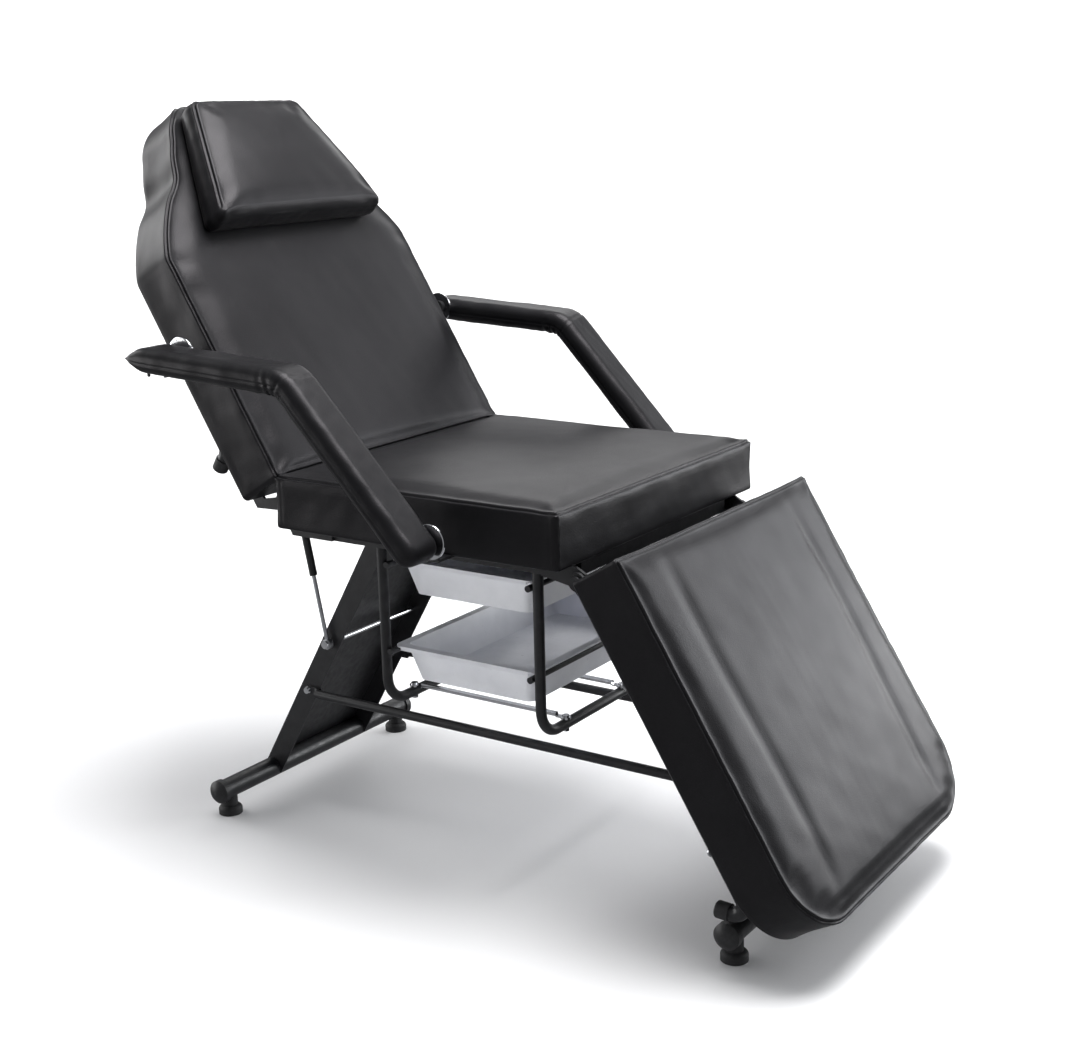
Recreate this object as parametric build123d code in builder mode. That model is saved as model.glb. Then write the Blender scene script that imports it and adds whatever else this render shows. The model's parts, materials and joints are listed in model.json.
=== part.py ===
"""Reclining treatment chair with a folding footrest, linked armrests and two pull-out trays.

Millimetres. X runs from the head end to the foot end, Y to the sitter's left, Z up.
The origin is on the floor, under the middle of the chair. The chair is modelled
sitting up: the backrest leans back from its hinge, the footrest hangs down.
"""

import os
from math import asin, cos, radians, sin, sqrt

from build123d import *

os.makedirs("parts", exist_ok=True)

# Cushions and boards
seat_top = 625
cushion_width = 580
seat_length = 516
seat_thickness = 82
back_length = 667
back_thickness = 86
foot_length = 566
foot_thickness = 82
board_thickness = 12
board_inset = 9
edge_radius = 22
side_draw = 5
seam_round = 9
seat_crown = 11
back_crown = 7.5
head_crown = 4
foot_crown = 10
foot_channel_offset = 190
foot_channel_depth = 4
foot_corner_radius = 100
head_half_width = 158
head_radius = 80
head_roll = 50
soft_gap = 0.3

# Resting angles above and below the horizontal, and the two cushion hinges
back_angle = 58.5
foot_angle = 58.4
back_hinge_setback = 22
back_hinge_drop = 52.4
back_end_reach = 23
foot_hinge_advance = 2
foot_hinge_gap = 25
foot_end_reach = 2

# Where the seat's rear edge lies, so that the whole chair is centred on the origin
seat_rear_x = -240

# Base
bar_diameter = 34
bar_height = 45
bar_length = 518
rear_bar_setback = 209
front_bar_advance = 238
bar_wall = 2
cap_wall = 3
cap_length = 20
cap_dome = 9
foot_pad_offset = 225
foot_pad_radius = 20
foot_pad_height = 12
foot_neck_radius = 13
foot_neck_rise = 3
foot_rim_share = 0.5
foot_bulge_share = 0.93
column_width = 230
column_depth = 36
column_sheet = 2.5
column_lean = 30.6
leg_size = 25
leg_wall = 2
leg_top_setback = 24
stretcher_height = 205
stretcher_diameter = 15
stretcher_wall = 1.5
lug_thickness = 4
stretcher_lug_length = 30

# Seat frame and its trays
frame_tube = 25
frame_wall = 2
rail_inset = 65
rail_rear_inset = 20
rail_front_inset = 11
rear_crossbar_inset = 70
hoop_diameter = 16
hoop_wall = 1.5
rear_hoop_share = 0.2965
front_hoop_share = 0.8488
hoop_low = 266
hoop_bend = 42
rail_rod = 10
rail_overhang = 8
upper_rail_height = 491
lower_rail_height = 353
tray_wall = 2.5
tray_depth = 58
tray_end_gap = 5
tray_rim = 12
tray_taper = 14
tray_corner = 14
tray_side_gap = 2
tray_lip = 4
tie_rod_diameter = 8
tie_rod_spacing = 160
tie_tongue = 3

# Hinges
hinge_plate = 5
hinge_gap = 1
hinge_boss = 14
hinge_tang_share = 0.8
hinge_pin = 10
pin_clearance = 0.05
pin_head = 4
pin_head_radius = 9
pin_nut_radius = 8.5
back_plate_length = 105
foot_plate_length = 80

# Round frame tubes behind the backrest and under the footrest
body_tube = 22
body_tube_wall = 1.5
back_tube_share = 0.5195
back_turn_share = 0.1382
back_peg_share = 0.1122
back_peg_depth = 131
back_tube_bend = 24
foot_turn_share = 0.905
foot_peg_share = 0.853
foot_peg_depth = 136
foot_tube_bend = 16
end_cap_wall = 1.5
end_cap_length = 18
brace_diameter = 19
back_brace_shares = (0.1901, 0.4779)
foot_brace_shares = (0.19, 0.8)

# Armrests
arm_height = 39
arm_width = 70
arm_round = 17
arm_bend = 44
arm_low_round = 15
arm_bar_height = 20
arm_bar_thickness = 6
arm_bar_margin = 8
arm_bar_tip_gap = 14
arm_tip_length = 42
arm_tip_shares = ((0, 1, 1), (0.35, 0.93, 0.99), (0.7, 0.62, 0.95), (1, 0.14, 0.86))
arm_pivot_share = 0.626
arm_pivot_drop = 56.6
arm_corner_inset = 114.3
arm_corner_rise = 162.7
arm_rear_reach = 191
arm_rear_rise = 178.7
arm_end_reach = 24
arm_stud_radius = 2.5
arm_stud_drop = 10
arm_stud_inset = 4
disc_diameter = 52
disc_thickness = 4
disc_edge = 1.5
rear_disc_share = 0.3555
rear_disc_depth = 32
arm_gap = 0.5
bracket_thickness = 4
bracket_stand_off = 27.5
bracket_width = 24

# Recline strut
strut_foot_height = 298
strut_head_along = 45
strut_head_depth = 130
strut_gap = 1.5
strut_eye_thickness = 8
strut_eye_radius = 9
strut_tube = 13
strut_tube_length = 160
strut_rod_diameter = 7
strut_rod_length = 178
strut_travel = 81
strut_bore_margin = 4
strut_lug_gap = 3
strut_pin_gap = 0.5
strut_lug_edge = 9

# Head pillow
pillow_bottom = 434
pillow_length = 219
pillow_bottom_width = 388
pillow_top_width = 244
pillow_bottom_height = 62
pillow_top_height = 50
pillow_bottom_rise = 7.3
pillow_top_rise = 2.5
pillow_crown = 9
pillow_edge = 10

# Fasteners
bolt_radius = 4
bolt_head_radius = 7
bolt_head = 4.5
bolt_head_taper = 20
nut_radius = 6.5
nut_height = 5
screw_radius = 2.5
screw_head_radius = 5.5
screw_head = 3
screw_bite = 9
screw_clearance = 0.1
screw_nut_height = 3
seat_screw_shares = (0.2, 0.72)
back_screw_shares = (0.2597, 0.4364)
foot_screw_shares = (0.27, 0.72)
cut_overrun = 2

# Places that follow from the sizes
half_width = cushion_width / 2
rail_offset = half_width - rail_inset
tray_length = 2 * (rail_offset - tray_end_gap)
seat_bottom = seat_top - seat_thickness
seat_front_x = seat_rear_x + seat_length
rail_top = seat_bottom
rail_bottom = rail_top - frame_tube
recline = radians(back_angle)
lowered = radians(foot_angle)
back_hinge = Vector(seat_rear_x - back_hinge_setback, 0, seat_top - back_hinge_drop)
back_up = Vector(-cos(recline), 0, sin(recline))
back_out = Vector(sin(recline), 0, cos(recline))
back = Plane(origin=back_hinge + back_out * back_hinge_drop, x_dir=back_up, z_dir=back_out)
foot_hinge_drop = foot_thickness + foot_hinge_gap
foot_hinge = Vector(seat_front_x + foot_hinge_advance, 0, seat_top - foot_hinge_drop)
foot_down = Vector(cos(lowered), 0, -sin(lowered))
foot_out = Vector(sin(lowered), 0, cos(lowered))
foot = Plane(origin=foot_hinge + foot_out * foot_hinge_drop, x_dir=foot_down, z_dir=foot_out)
seat = Plane(origin=(seat_rear_x, 0, seat_top), x_dir=(1, 0, 0), z_dir=(0, 0, 1))
rear_bar_x = seat_rear_x - rear_bar_setback
front_bar_x = seat_front_x + front_bar_advance
bar_radius = bar_diameter / 2
rail_outer = rail_offset + frame_tube / 2
lug_start = rail_outer
plate_start = lug_start + hinge_plate + hinge_gap
body_tube_offset = plate_start + hinge_plate + body_tube / 2
bracket_side = half_width + bracket_stand_off
disc_side = bracket_side + bracket_thickness
arm_side = disc_side + disc_thickness + arm_gap
column_half = column_width / 2
leg_offset = column_half - leg_size / 2
bar_half = bar_length / 2
SIDES = (("right", -1), ("left", 1))


def at(plane, along, across, out):
    """A point given along, across and out of a cushion's face."""
    return plane.from_local_coords((along, across, out))


def cross_plane(plane, along):
    """The plane across a cushion at one station of its length."""
    return Plane(origin=at(plane, along, 0, 0), x_dir=plane.y_dir, z_dir=plane.x_dir)


def save(part, name):
    part.label = name
    export_step(part, f"parts/{name}.step")


def cushion_section(plane, width, thickness, drop, crown, channel=0, channel_depth=0):
    """One slice: flat base, sides drawn in, rounded seams and a crowned top.

    width is half the slice's width, drop lowers its top, crown raises the middle.
    """
    seam = -drop - seam_round
    waist = (seam - thickness) / 2
    shoulder = width - seam_round
    lean = seam_round * (1 - sqrt(0.5))
    with BuildSketch(plane) as section:
        with BuildLine():
            Line((-width, -thickness), (width, -thickness))
            for side in (1, -1):
                ThreePointArc(
                    (side * width, -thickness),
                    (side * (width - side_draw), waist),
                    (side * width, seam),
                )
                ThreePointArc(
                    (side * width, seam),
                    (side * (width - lean), -drop - lean),
                    (side * shoulder, -drop),
                )
                if channel:
                    ThreePointArc(
                        (side * shoulder, -drop),
                        (side * (shoulder + channel) / 2, -drop + crown / 2),
                        (side * channel, -drop - channel_depth),
                    )
            if channel:
                ThreePointArc(
                    (-channel, -drop - channel_depth),
                    (0, -drop + crown),
                    (channel, -drop - channel_depth),
                )
            else:
                ThreePointArc((-shoulder, -drop), (0, -drop + crown), (shoulder, -drop))
        make_face()
    return section.sketch


def rounding(distance, radius):
    """How far a rounded corner has drawn in at a distance short of its start."""
    if distance >= radius:
        return 0
    return radius - sqrt(radius**2 - (radius - distance) ** 2)


def tube(points, diameter, wall, bend=0):
    """A round tube along straight runs joined by bends."""
    with BuildPart() as pipe:
        with BuildLine() as path:
            if bend:
                FilletPolyline(*points, radius=bend)
            else:
                Line(points[0], points[1])
        with BuildSketch(Plane(origin=path.line @ 0, z_dir=path.line % 0)):
            Circle(diameter / 2)
            Circle(diameter / 2 - wall, mode=Mode.SUBTRACT)
        sweep()
    return pipe.part


def rod(start, end, radius):
    """A solid round bar between two points."""
    with BuildPart() as bar:
        with BuildSketch(Plane(origin=start, z_dir=Vector(end) - Vector(start))):
            Circle(radius)
        extrude(amount=(Vector(end) - Vector(start)).length)
    return bar.part


def box_tube(start, end, size, wall, x_dir=(0, 1, 0)):
    """A square tube between two points."""
    with BuildPart() as pipe:
        with BuildSketch(Plane(origin=start, x_dir=x_dir, z_dir=Vector(end) - Vector(start))):
            Rectangle(size, size)
            Rectangle(size - 2 * wall, size - 2 * wall, mode=Mode.SUBTRACT)
        extrude(amount=(Vector(end) - Vector(start)).length)
    return pipe.part


def group(parts, name):
    """Separate like pieces that share one node."""
    save(Compound(children=parts), name)


# Cushions, lofted through slices span by span

board_length = seat_length - 2 * board_inset
board_width = cushion_width - 2 * board_inset
near_end_shares = (0.02, 0.33, 0.66, 1)
far_end_shares = (1, 0.66, 0.33, 0.02)
middle_shares = (0, 0.25, 0.5, 0.75, 1)


def swell(share):
    """The crown's rise along a cushion, from nothing at an end to full in the middle."""
    return 4 * share * (1 - share)


def spans(length, near_radius, far_radius, middles):
    """Stations of the near rounded end, the middle and the far rounded end."""
    straight = length - near_radius - far_radius
    near = [near_radius * share for share in near_end_shares]
    middle = [near_radius + straight * share for share in middles]
    far = [length - far_radius * share for share in far_end_shares]
    return near, middle, far


def seat_slice(station):
    from_end = min(station, seat_length - station)
    inset = rounding(from_end, edge_radius)
    crown = seat_crown * swell(station / seat_length) + soft_gap
    plane = cross_plane(seat, station)
    return cushion_section(plane, half_width - inset, seat_thickness, inset, crown)


def seat_board_blank(grow):
    """The seat's board, or the pocket that holds it."""
    middle = at(seat, seat_length / 2, 0, -seat_thickness)
    with BuildPart() as panel:
        with BuildSketch(Plane(origin=middle, x_dir=seat.x_dir, z_dir=seat.z_dir)):
            RectangleRounded(board_length + 2 * grow, board_width + 2 * grow, edge_radius)
        extrude(amount=board_thickness)
    return panel.part


with BuildPart() as seat_cushion:
    for span in spans(seat_length, edge_radius, edge_radius, middle_shares):
        loft(sections=[seat_slice(station) for station in span])
    add(seat_board_blank(soft_gap), mode=Mode.SUBTRACT)
save(seat_cushion.part, "seat_cushion")


def foot_slice(station):
    from_end = foot_length - station
    inset = rounding(station, edge_radius)
    narrow = half_width - inset - rounding(from_end, foot_corner_radius)
    drop = inset + rounding(from_end, edge_radius)
    rise = swell(station / foot_length)
    crown = foot_crown * rise + soft_gap
    channel = foot_channel_offset * narrow / half_width
    plane = cross_plane(foot, foot_end_reach + station)
    return cushion_section(
        plane, narrow, foot_thickness, drop, crown, channel, foot_channel_depth * rise
    )


def foot_board_blank(grow):
    """The footrest's board, or the pocket that holds it."""
    low = at(foot, foot_end_reach + foot_length / 2, 0, -foot_thickness)
    long = foot_length - 2 * board_inset + 2 * grow
    with BuildPart() as panel:
        with BuildSketch(Plane(origin=low, x_dir=foot.x_dir, z_dir=foot.z_dir)) as outline:
            Rectangle(long, board_width + 2 * grow)
            fillet(outline.vertices().group_by(Axis.X)[-1], foot_corner_radius - board_inset)
            fillet(outline.vertices().group_by(Axis.X)[0], edge_radius)
        extrude(amount=board_thickness)
    return panel.part


with BuildPart() as footrest_cushion:
    for span in spans(foot_length, edge_radius, foot_corner_radius, middle_shares):
        loft(sections=[foot_slice(station) for station in span])
    add(foot_board_blank(soft_gap), mode=Mode.SUBTRACT)
save(footrest_cushion.part, "footrest_cushion")


# Half the backrest's width, from its lower end to its head, at even stations
back_outline_shares = (1, 1, 1, 1, 1, 1, 1, 0.993, 0.922, 0.803, 0.638, 0.55)


def back_half_width(station):
    """Half the backrest's width, straight between the outline's even stations."""
    place = max(0, station) / (back_length - head_radius) * (len(back_outline_shares) - 1)
    step = min(int(place), len(back_outline_shares) - 2)
    low, high = back_outline_shares[step], back_outline_shares[step + 1]
    return half_width * (low + (high - low) * (place - step))


def back_slice(station):
    from_end = back_length - station
    inset = rounding(station, edge_radius)
    head = rounding(from_end, head_radius)
    narrow = back_half_width(station) - inset - head
    drop = inset + rounding(from_end, head_roll)
    wide = min(1, max(0, (narrow - head_half_width) / (half_width - head_half_width)))
    crown = (head_crown + (back_crown - head_crown) * wide) * swell(station / back_length)
    plane = cross_plane(back, back_end_reach + station)
    return cushion_section(plane, narrow, back_thickness, drop, crown + soft_gap)


back_middles = [step / (len(back_outline_shares) - 1) for step in range(len(back_outline_shares))]
back_spans = spans(back_length, edge_radius, head_radius, back_middles)


def back_board_blank(grow):
    """The backrest's board, or the pocket that holds it."""
    low = at(back, back_end_reach, 0, -back_thickness)
    edge = board_inset - grow
    tip = back_length - edge
    corner_radius = head_radius - edge
    stations = [station for station in back_spans[1] if station > back_length / 3]
    curve = [(station, back_half_width(station) - edge) for station in stations]
    corner = []
    for share in (1, 1 - sqrt(0.5), 0):
        station = tip - corner_radius * share
        drawn_in = rounding(corner_radius * share, corner_radius)
        corner.append((station, back_half_width(station) - edge - drawn_in))
    with BuildPart() as panel:
        with BuildSketch(Plane(origin=low, x_dir=back.x_dir, z_dir=back.z_dir)):
            with BuildLine():
                Line((edge, edge - half_width), (edge, half_width - edge))
                for side in (1, -1):
                    Line((edge, side * (half_width - edge)), (curve[0][0], side * curve[0][1]))
                    Spline(*[(along, side * across) for along, across in curve])
                    ThreePointArc(*[(along, side * across) for along, across in corner])
                Line((tip, -corner[-1][1]), (tip, corner[-1][1]))
            make_face()
        extrude(amount=board_thickness)
    return panel.part


with BuildPart() as backrest_cushion:
    for span in back_spans:
        loft(sections=[back_slice(station) for station in span])
    add(back_board_blank(soft_gap), mode=Mode.SUBTRACT)
save(backrest_cushion.part, "backrest_cushion")


# Boards with their screw holes

seat_screws = [
    (seat_length * share, side * rail_offset) for share in seat_screw_shares for side in (-1, 1)
]
back_screws = [
    (back_end_reach + back_length * share, side * body_tube_offset)
    for share in back_screw_shares
    for side in (-1, 1)
]
foot_screws = [
    (foot_end_reach + foot_length * share, side * body_tube_offset)
    for share in foot_screw_shares
    for side in (-1, 1)
]


def screw_run(plane, places, head_depth, tip_depth, radius):
    """Straight pins from under the frame tube up into the board."""
    return [
        rod(at(plane, along, across, -head_depth), at(plane, along, across, -tip_depth), radius)
        for along, across in places
    ]


def drill(part, holes):
    """The part with holes cut through it."""
    with BuildPart() as drilled:
        add(part)
        for hole in holes:
            add(hole, mode=Mode.SUBTRACT)
    return drilled.part


def screws(plane, places, head_depth, tip_depth, name):
    """Pan-head screws whose heads bear on the frame tube."""
    made = []
    for along, across in places:
        head = at(plane, along, across, -head_depth - screw_head)
        neck = at(plane, along, across, -head_depth)
        with BuildPart() as screw:
            with BuildSketch(Plane(origin=head, z_dir=plane.z_dir)):
                Circle(screw_head_radius)
            extrude(amount=screw_head)
            with BuildSketch(Plane(origin=neck, z_dir=plane.z_dir)):
                Circle(screw_radius)
            extrude(amount=head_depth - tip_depth)
        made.append(screw.part)
    group(made, name)


bore_radius = screw_radius + screw_clearance
screw_tip = screw_bite - screw_radius
drills = {}
for label, plane, places, thickness, frame_depth, blank in (
    ("seat", seat, seat_screws, seat_thickness, frame_tube, seat_board_blank(0)),
    ("backrest", back, back_screws, back_thickness, body_tube, back_board_blank(0)),
    ("footrest", foot, foot_screws, foot_thickness, body_tube, foot_board_blank(0)),
):
    bore_start = thickness + frame_depth + cut_overrun
    drills[label] = screw_run(plane, places, bore_start, thickness - screw_bite, bore_radius)
    save(drill(blank, drills[label]), f"{label}_board")
    screws(plane, places, thickness + frame_depth, thickness - screw_tip, f"{label}_board_screws")


# Foot bars with their end caps and rubber feet


def bar_solid(bar_x):
    """The full round of a foot bar, for cutting what is fitted round it."""
    return rod((bar_x, -bar_half, bar_height), (bar_x, bar_half, bar_height), bar_radius)


bar_reach = bar_half - cap_dome
cap_radius = bar_radius + cap_wall
dome_radius = (cap_radius**2 + cap_dome**2) / (2 * cap_dome)
dome_turn = asin(cap_radius / dome_radius) / 2
caps = []
pads = []
for name, bar_x in (("rear_foot_bar", rear_bar_x), ("front_foot_bar", front_bar_x)):
    ends = [(bar_x, side * bar_reach, bar_height) for side in (-1, 1)]
    save(tube(ends, bar_diameter, bar_wall), name)
    for side in (-1, 1):
        with BuildPart() as cap:
            with BuildSketch(Plane((bar_x, 0, bar_height), x_dir=(0, side, 0), z_dir=(side, 0, 0))):
                with BuildLine():
                    Polyline(
                        (bar_half, 0),
                        (bar_reach, 0),
                        (bar_reach, bar_radius),
                        (bar_half - cap_length, bar_radius),
                        (bar_half - cap_length, cap_radius),
                        (bar_reach, cap_radius),
                    )
                    ThreePointArc(
                        (bar_reach, cap_radius),
                        (
                            bar_half - dome_radius * (1 - cos(dome_turn)),
                            dome_radius * sin(dome_turn),
                        ),
                        (bar_half, 0),
                    )
                make_face()
            revolve(axis=Axis((bar_x, 0, bar_height), (0, 1, 0)))
        caps.append(cap.part)
        middle = side * foot_pad_offset
        with BuildPart() as pad:
            with BuildSketch(Plane((bar_x, middle, 0), x_dir=(1, 0, 0), z_dir=(0, -1, 0))):
                with BuildLine():
                    Line((0, 0), (foot_pad_radius, 0))
                    Line((foot_pad_radius, 0), (foot_pad_radius, foot_pad_height * foot_rim_share))
                    ThreePointArc(
                        (foot_pad_radius, foot_pad_height * foot_rim_share),
                        (foot_pad_radius * foot_bulge_share, foot_pad_height),
                        (foot_neck_radius, foot_pad_height + foot_neck_rise),
                    )
                    Line(
                        (foot_neck_radius, foot_pad_height + foot_neck_rise),
                        (foot_neck_radius, bar_height),
                    )
                    Line((foot_neck_radius, bar_height), (0, bar_height))
                    Line((0, bar_height), (0, 0))
                make_face()
            revolve(axis=Axis((bar_x, middle, 0), (0, 0, 1)))
            add(bar_solid(bar_x), mode=Mode.SUBTRACT)
        pads.append(pad.part.solids().sort_by(Axis.Z)[0])
group(caps, "foot_bar_caps")
group(pads, "rubber_feet")


# Rear column, a sheet channel that opens forward

lean = radians(column_lean)
column_up = Vector(sin(lean), 0, cos(lean))
column_front = Vector(cos(lean), 0, -sin(lean))
column_base = Vector(rear_bar_x, 0, bar_height) - column_front * bar_radius
column_reach = (rail_bottom - column_base.Z) / cos(lean) + column_depth
with BuildPart() as rear_column:
    with BuildSketch(Plane(origin=column_base, x_dir=column_front, z_dir=column_up)):
        with Locations((column_depth / 2, 0)):
            Rectangle(column_depth, column_width)
        with Locations((column_depth / 2 + column_sheet, 0)):
            Rectangle(column_depth, column_width - 2 * column_sheet, mode=Mode.SUBTRACT)
    extrude(amount=column_reach)
    with Locations((rear_bar_x, 0, rail_bottom + column_reach / 2)):
        Box(2 * column_reach, column_width + cut_overrun, column_reach, mode=Mode.SUBTRACT)
    add(bar_solid(rear_bar_x), mode=Mode.SUBTRACT)


def column_point(height, forward):
    """A point on the column's side, by its height and its depth from the back sheet."""
    travel = (height - column_base.Z + forward * sin(lean)) / cos(lean)
    return column_base + column_up * travel + column_front * forward


stretcher_rear = column_point(stretcher_height, column_depth / 2)
strut_foot = column_point(strut_foot_height, column_depth / 2)
column_side = column_half + cut_overrun
column_holes = [
    rod((place.X, -column_side, place.Z), (place.X, column_side, place.Z), bolt_radius)
    for place in (stretcher_rear, strut_foot)
]
save(drill(rear_column.part, column_holes), "rear_column")


# Front legs

leg_top_x = seat_front_x - leg_top_setback
leg_run = Vector(front_bar_x - leg_top_x, 0, bar_height - rail_bottom)
leg_way = leg_run.normalized()


def leg_point(height):
    """Where a front leg's centre line passes a height."""
    return Vector(leg_top_x, 0, rail_bottom) + leg_way * ((height - rail_bottom) / leg_way.Z)


stretcher_front = leg_point(stretcher_height)
leg_hole_ends = [(stretcher_front.X, side * half_width, stretcher_height) for side in (-1, 1)]
for name, side in SIDES:
    offset = Vector(0, side * leg_offset, 0)
    above = Vector(leg_top_x, 0, rail_bottom) - leg_way * leg_size + offset
    below = Vector(front_bar_x, 0, bar_height) + offset
    with BuildPart() as leg:
        add(box_tube(above, below, leg_size, leg_wall))
        with Locations((leg_top_x, side * leg_offset, rail_bottom + leg_size)):
            Box(4 * leg_size, 2 * leg_size, 2 * leg_size, mode=Mode.SUBTRACT)
        add(bar_solid(front_bar_x), mode=Mode.SUBTRACT)
        add(rod(*leg_hole_ends, bolt_radius), mode=Mode.SUBTRACT)
    save(leg.part.solids().sort_by(SortBy.VOLUME)[-1], f"front_leg_{name}")


# Stretchers with flattened, bolted ends

bolts = []
stretcher_side = column_half + lug_thickness + stretcher_diameter / 2
for name, side in SIDES:
    start = Vector(stretcher_rear.X, side * column_half, stretcher_height)
    finish = Vector(stretcher_front.X, side * column_half, stretcher_height)
    centre = side * stretcher_side
    inner = [start.X + stretcher_lug_length, finish.X - stretcher_lug_length]
    with BuildPart() as stretcher:
        add(tube([(x, centre, stretcher_height) for x in inner], stretcher_diameter, stretcher_wall))
        for end, near, reach in ((start, inner[0], -1), (finish, inner[1], 1)):
            face = Plane((end.X, end.Y, stretcher_height), x_dir=(reach, 0, 0), z_dir=(0, side, 0))
            with BuildSketch(face):
                with Locations((-stretcher_lug_length / 2, 0)):
                    Rectangle(stretcher_lug_length, stretcher_diameter)
                Circle(stretcher_diameter / 2)
                Circle(bolt_radius, mode=Mode.SUBTRACT)
            extrude(amount=lug_thickness)
            rim = Plane((near, centre, stretcher_height), x_dir=(0, side, 0), z_dir=(reach, 0, 0))
            flat = Plane(
                (near + reach * stretcher_diameter, end.Y + side * lug_thickness / 2, stretcher_height),
                x_dir=(0, side, 0),
                z_dir=(reach, 0, 0),
            )
            with BuildSketch(rim) as round_end:
                Circle(stretcher_diameter / 2)
            with BuildSketch(flat) as flat_end:
                Rectangle(lug_thickness, stretcher_diameter)
            loft(sections=[round_end.sketch, flat_end.sketch], ruled=True)
    save(stretcher.part, f"stretcher_{name}")
    for end, inside in ((start, column_sheet), (finish, leg_size)):
        outer = end.Y + side * lug_thickness
        with BuildPart() as bolt:
            add(rod((end.X, end.Y - side * inside, end.Z), (end.X, outer, end.Z), bolt_radius))
            with BuildSketch(Plane((end.X, outer, end.Z), z_dir=(0, side, 0))):
                Circle(bolt_head_radius)
            extrude(amount=bolt_head, taper=bolt_head_taper)
            with BuildSketch(Plane((end.X, end.Y - side * inside, end.Z), z_dir=(0, -side, 0))):
                RegularPolygon(nut_radius, 6)
            extrude(amount=nut_height)
        bolts.append(bolt.part)
group(bolts, "stretcher_bolts")


# Seat frame

rail_middle = rail_top - frame_tube / 2
rail_rear_x = seat_rear_x + rail_rear_inset
rail_front_x = seat_front_x - rail_front_inset
for name, side in SIDES:
    ends = [(x, side * rail_offset, rail_middle) for x in (rail_rear_x, rail_front_x)]
    save(drill(box_tube(*ends, frame_tube, frame_wall), drills["seat"]), f"seat_rail_{name}")
crossbar_half = rail_offset - frame_tube / 2
rear_crossbar_x = seat_rear_x + rear_crossbar_inset
front_crossbar_x = rail_front_x - frame_tube / 2
for name, bar_x in (("rear_crossbar", rear_crossbar_x), ("front_crossbar", front_crossbar_x)):
    ends = [(bar_x, side * crossbar_half, rail_middle) for side in (-1, 1)]
    save(box_tube(*ends, frame_tube, frame_wall, x_dir=(1, 0, 0)), name)


# Hinges: plates on the seat rails, plates on the moving frames, and their pins


def hinge_plate_solid(outline, hinge, side, start):
    """A flat hinge plate with a round boss and a pin hole.

    outline is a list of points in the plate's plane, as X and Z.
    """
    face = Plane((0, side * start, 0), x_dir=(1, 0, 0), z_dir=(0, -1, 0))
    with BuildPart() as plate:
        with BuildSketch(face):
            with BuildLine():
                Polyline(*outline, close=True)
            make_face()
            with Locations((hinge.X, hinge.Z)):
                Circle(hinge_boss)
                Circle(hinge_pin / 2 + pin_clearance, mode=Mode.SUBTRACT)
        extrude(amount=-side * hinge_plate)
    return plate.part


def flat_points(plane, places):
    """Points in a cushion's own length and depth, as X and Z."""
    return [(point.X, point.Z) for point in (at(plane, along, 0, out) for along, out in places)]


def hinge_pins(hinge, name):
    """Headed pins through both plates of each hinge."""
    pins = []
    for side in (-1, 1):
        outside = side * (plate_start + hinge_plate + hinge_gap / 2)
        foot_of_pin = Plane((hinge.X, side * lug_start, hinge.Z), z_dir=(0, -side, 0))
        with BuildPart() as pin:
            add(rod((hinge.X, side * lug_start, hinge.Z), (hinge.X, outside, hinge.Z), hinge_pin / 2))
            with BuildSketch(Plane((hinge.X, outside, hinge.Z), z_dir=(0, side, 0))):
                Circle(pin_head_radius)
            extrude(amount=pin_head)
            with BuildSketch(foot_of_pin):
                RegularPolygon(pin_nut_radius, 6)
            extrude(amount=nut_height)
        pins.append(pin.part)
    group(pins, name)


tang = hinge_boss * hinge_tang_share
rear_lug_outline = [
    (rail_rear_x + 2 * frame_tube, rail_bottom),
    (rail_rear_x + 2 * frame_tube, rail_top),
    (seat_rear_x, rail_top),
    (back_hinge.X + tang, back_hinge.Z),
    (back_hinge.X - tang, back_hinge.Z - tang),
    (back_hinge.X + tang, rail_bottom),
]
front_lug_outline = [
    (rail_front_x - 2 * frame_tube, rail_bottom),
    (rail_front_x - 2 * frame_tube, rail_top),
    (rail_front_x, rail_top),
    (foot_hinge.X + tang, foot_hinge.Z + tang),
    (foot_hinge.X, foot_hinge.Z - tang),
]
back_plate_outline = flat_points(
    back,
    [
        (back_plate_length, -back_thickness),
        (back_plate_length, -back_thickness - body_tube),
        (hinge_boss, -back_thickness - body_tube),
        (-tang, -back_hinge_drop - tang),
        (0, -back_hinge_drop),
        (tang, -back_hinge_drop - tang),
        (back_end_reach - soft_gap - tang / 4, -back_thickness),
    ],
)
foot_plate_outline = flat_points(
    foot,
    [
        (foot_plate_length, -foot_thickness),
        (foot_plate_length, -foot_thickness - body_tube),
        (0, -foot_hinge_drop - tang),
        (0, -foot_hinge_drop + tang),
        (hinge_boss, -foot_thickness),
    ],
)
for outline, hinge, start, name in (
    (rear_lug_outline, back_hinge, lug_start, "rear_hinge_lugs"),
    (front_lug_outline, foot_hinge, lug_start, "front_hinge_lugs"),
    (back_plate_outline, back_hinge, plate_start, "backrest_hinge_plates"),
    (foot_plate_outline, foot_hinge, plate_start, "footrest_hinge_plates"),
):
    group([hinge_plate_solid(outline, hinge, side, start) for side in (-1, 1)], name)
hinge_pins(back_hinge, "backrest_hinge_pins")
hinge_pins(foot_hinge, "footrest_hinge_pins")


# Backrest and footrest frames of round tube, their lower ends turned out and capped

back_peg = at(back, back_end_reach + back_length * back_peg_share, 0, -back_peg_depth)
foot_peg = at(foot, foot_end_reach + foot_length * foot_peg_share, 0, -foot_peg_depth)


def frame_tube_path(plane, top, turn, depth, peg, side):
    """A tube down the back of a board, then out to its capped peg."""
    offset = Vector(0, side * body_tube_offset, 0)
    run = [at(plane, along, 0, -depth) + offset for along in (top, turn)]
    return run + [peg + offset]


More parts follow.
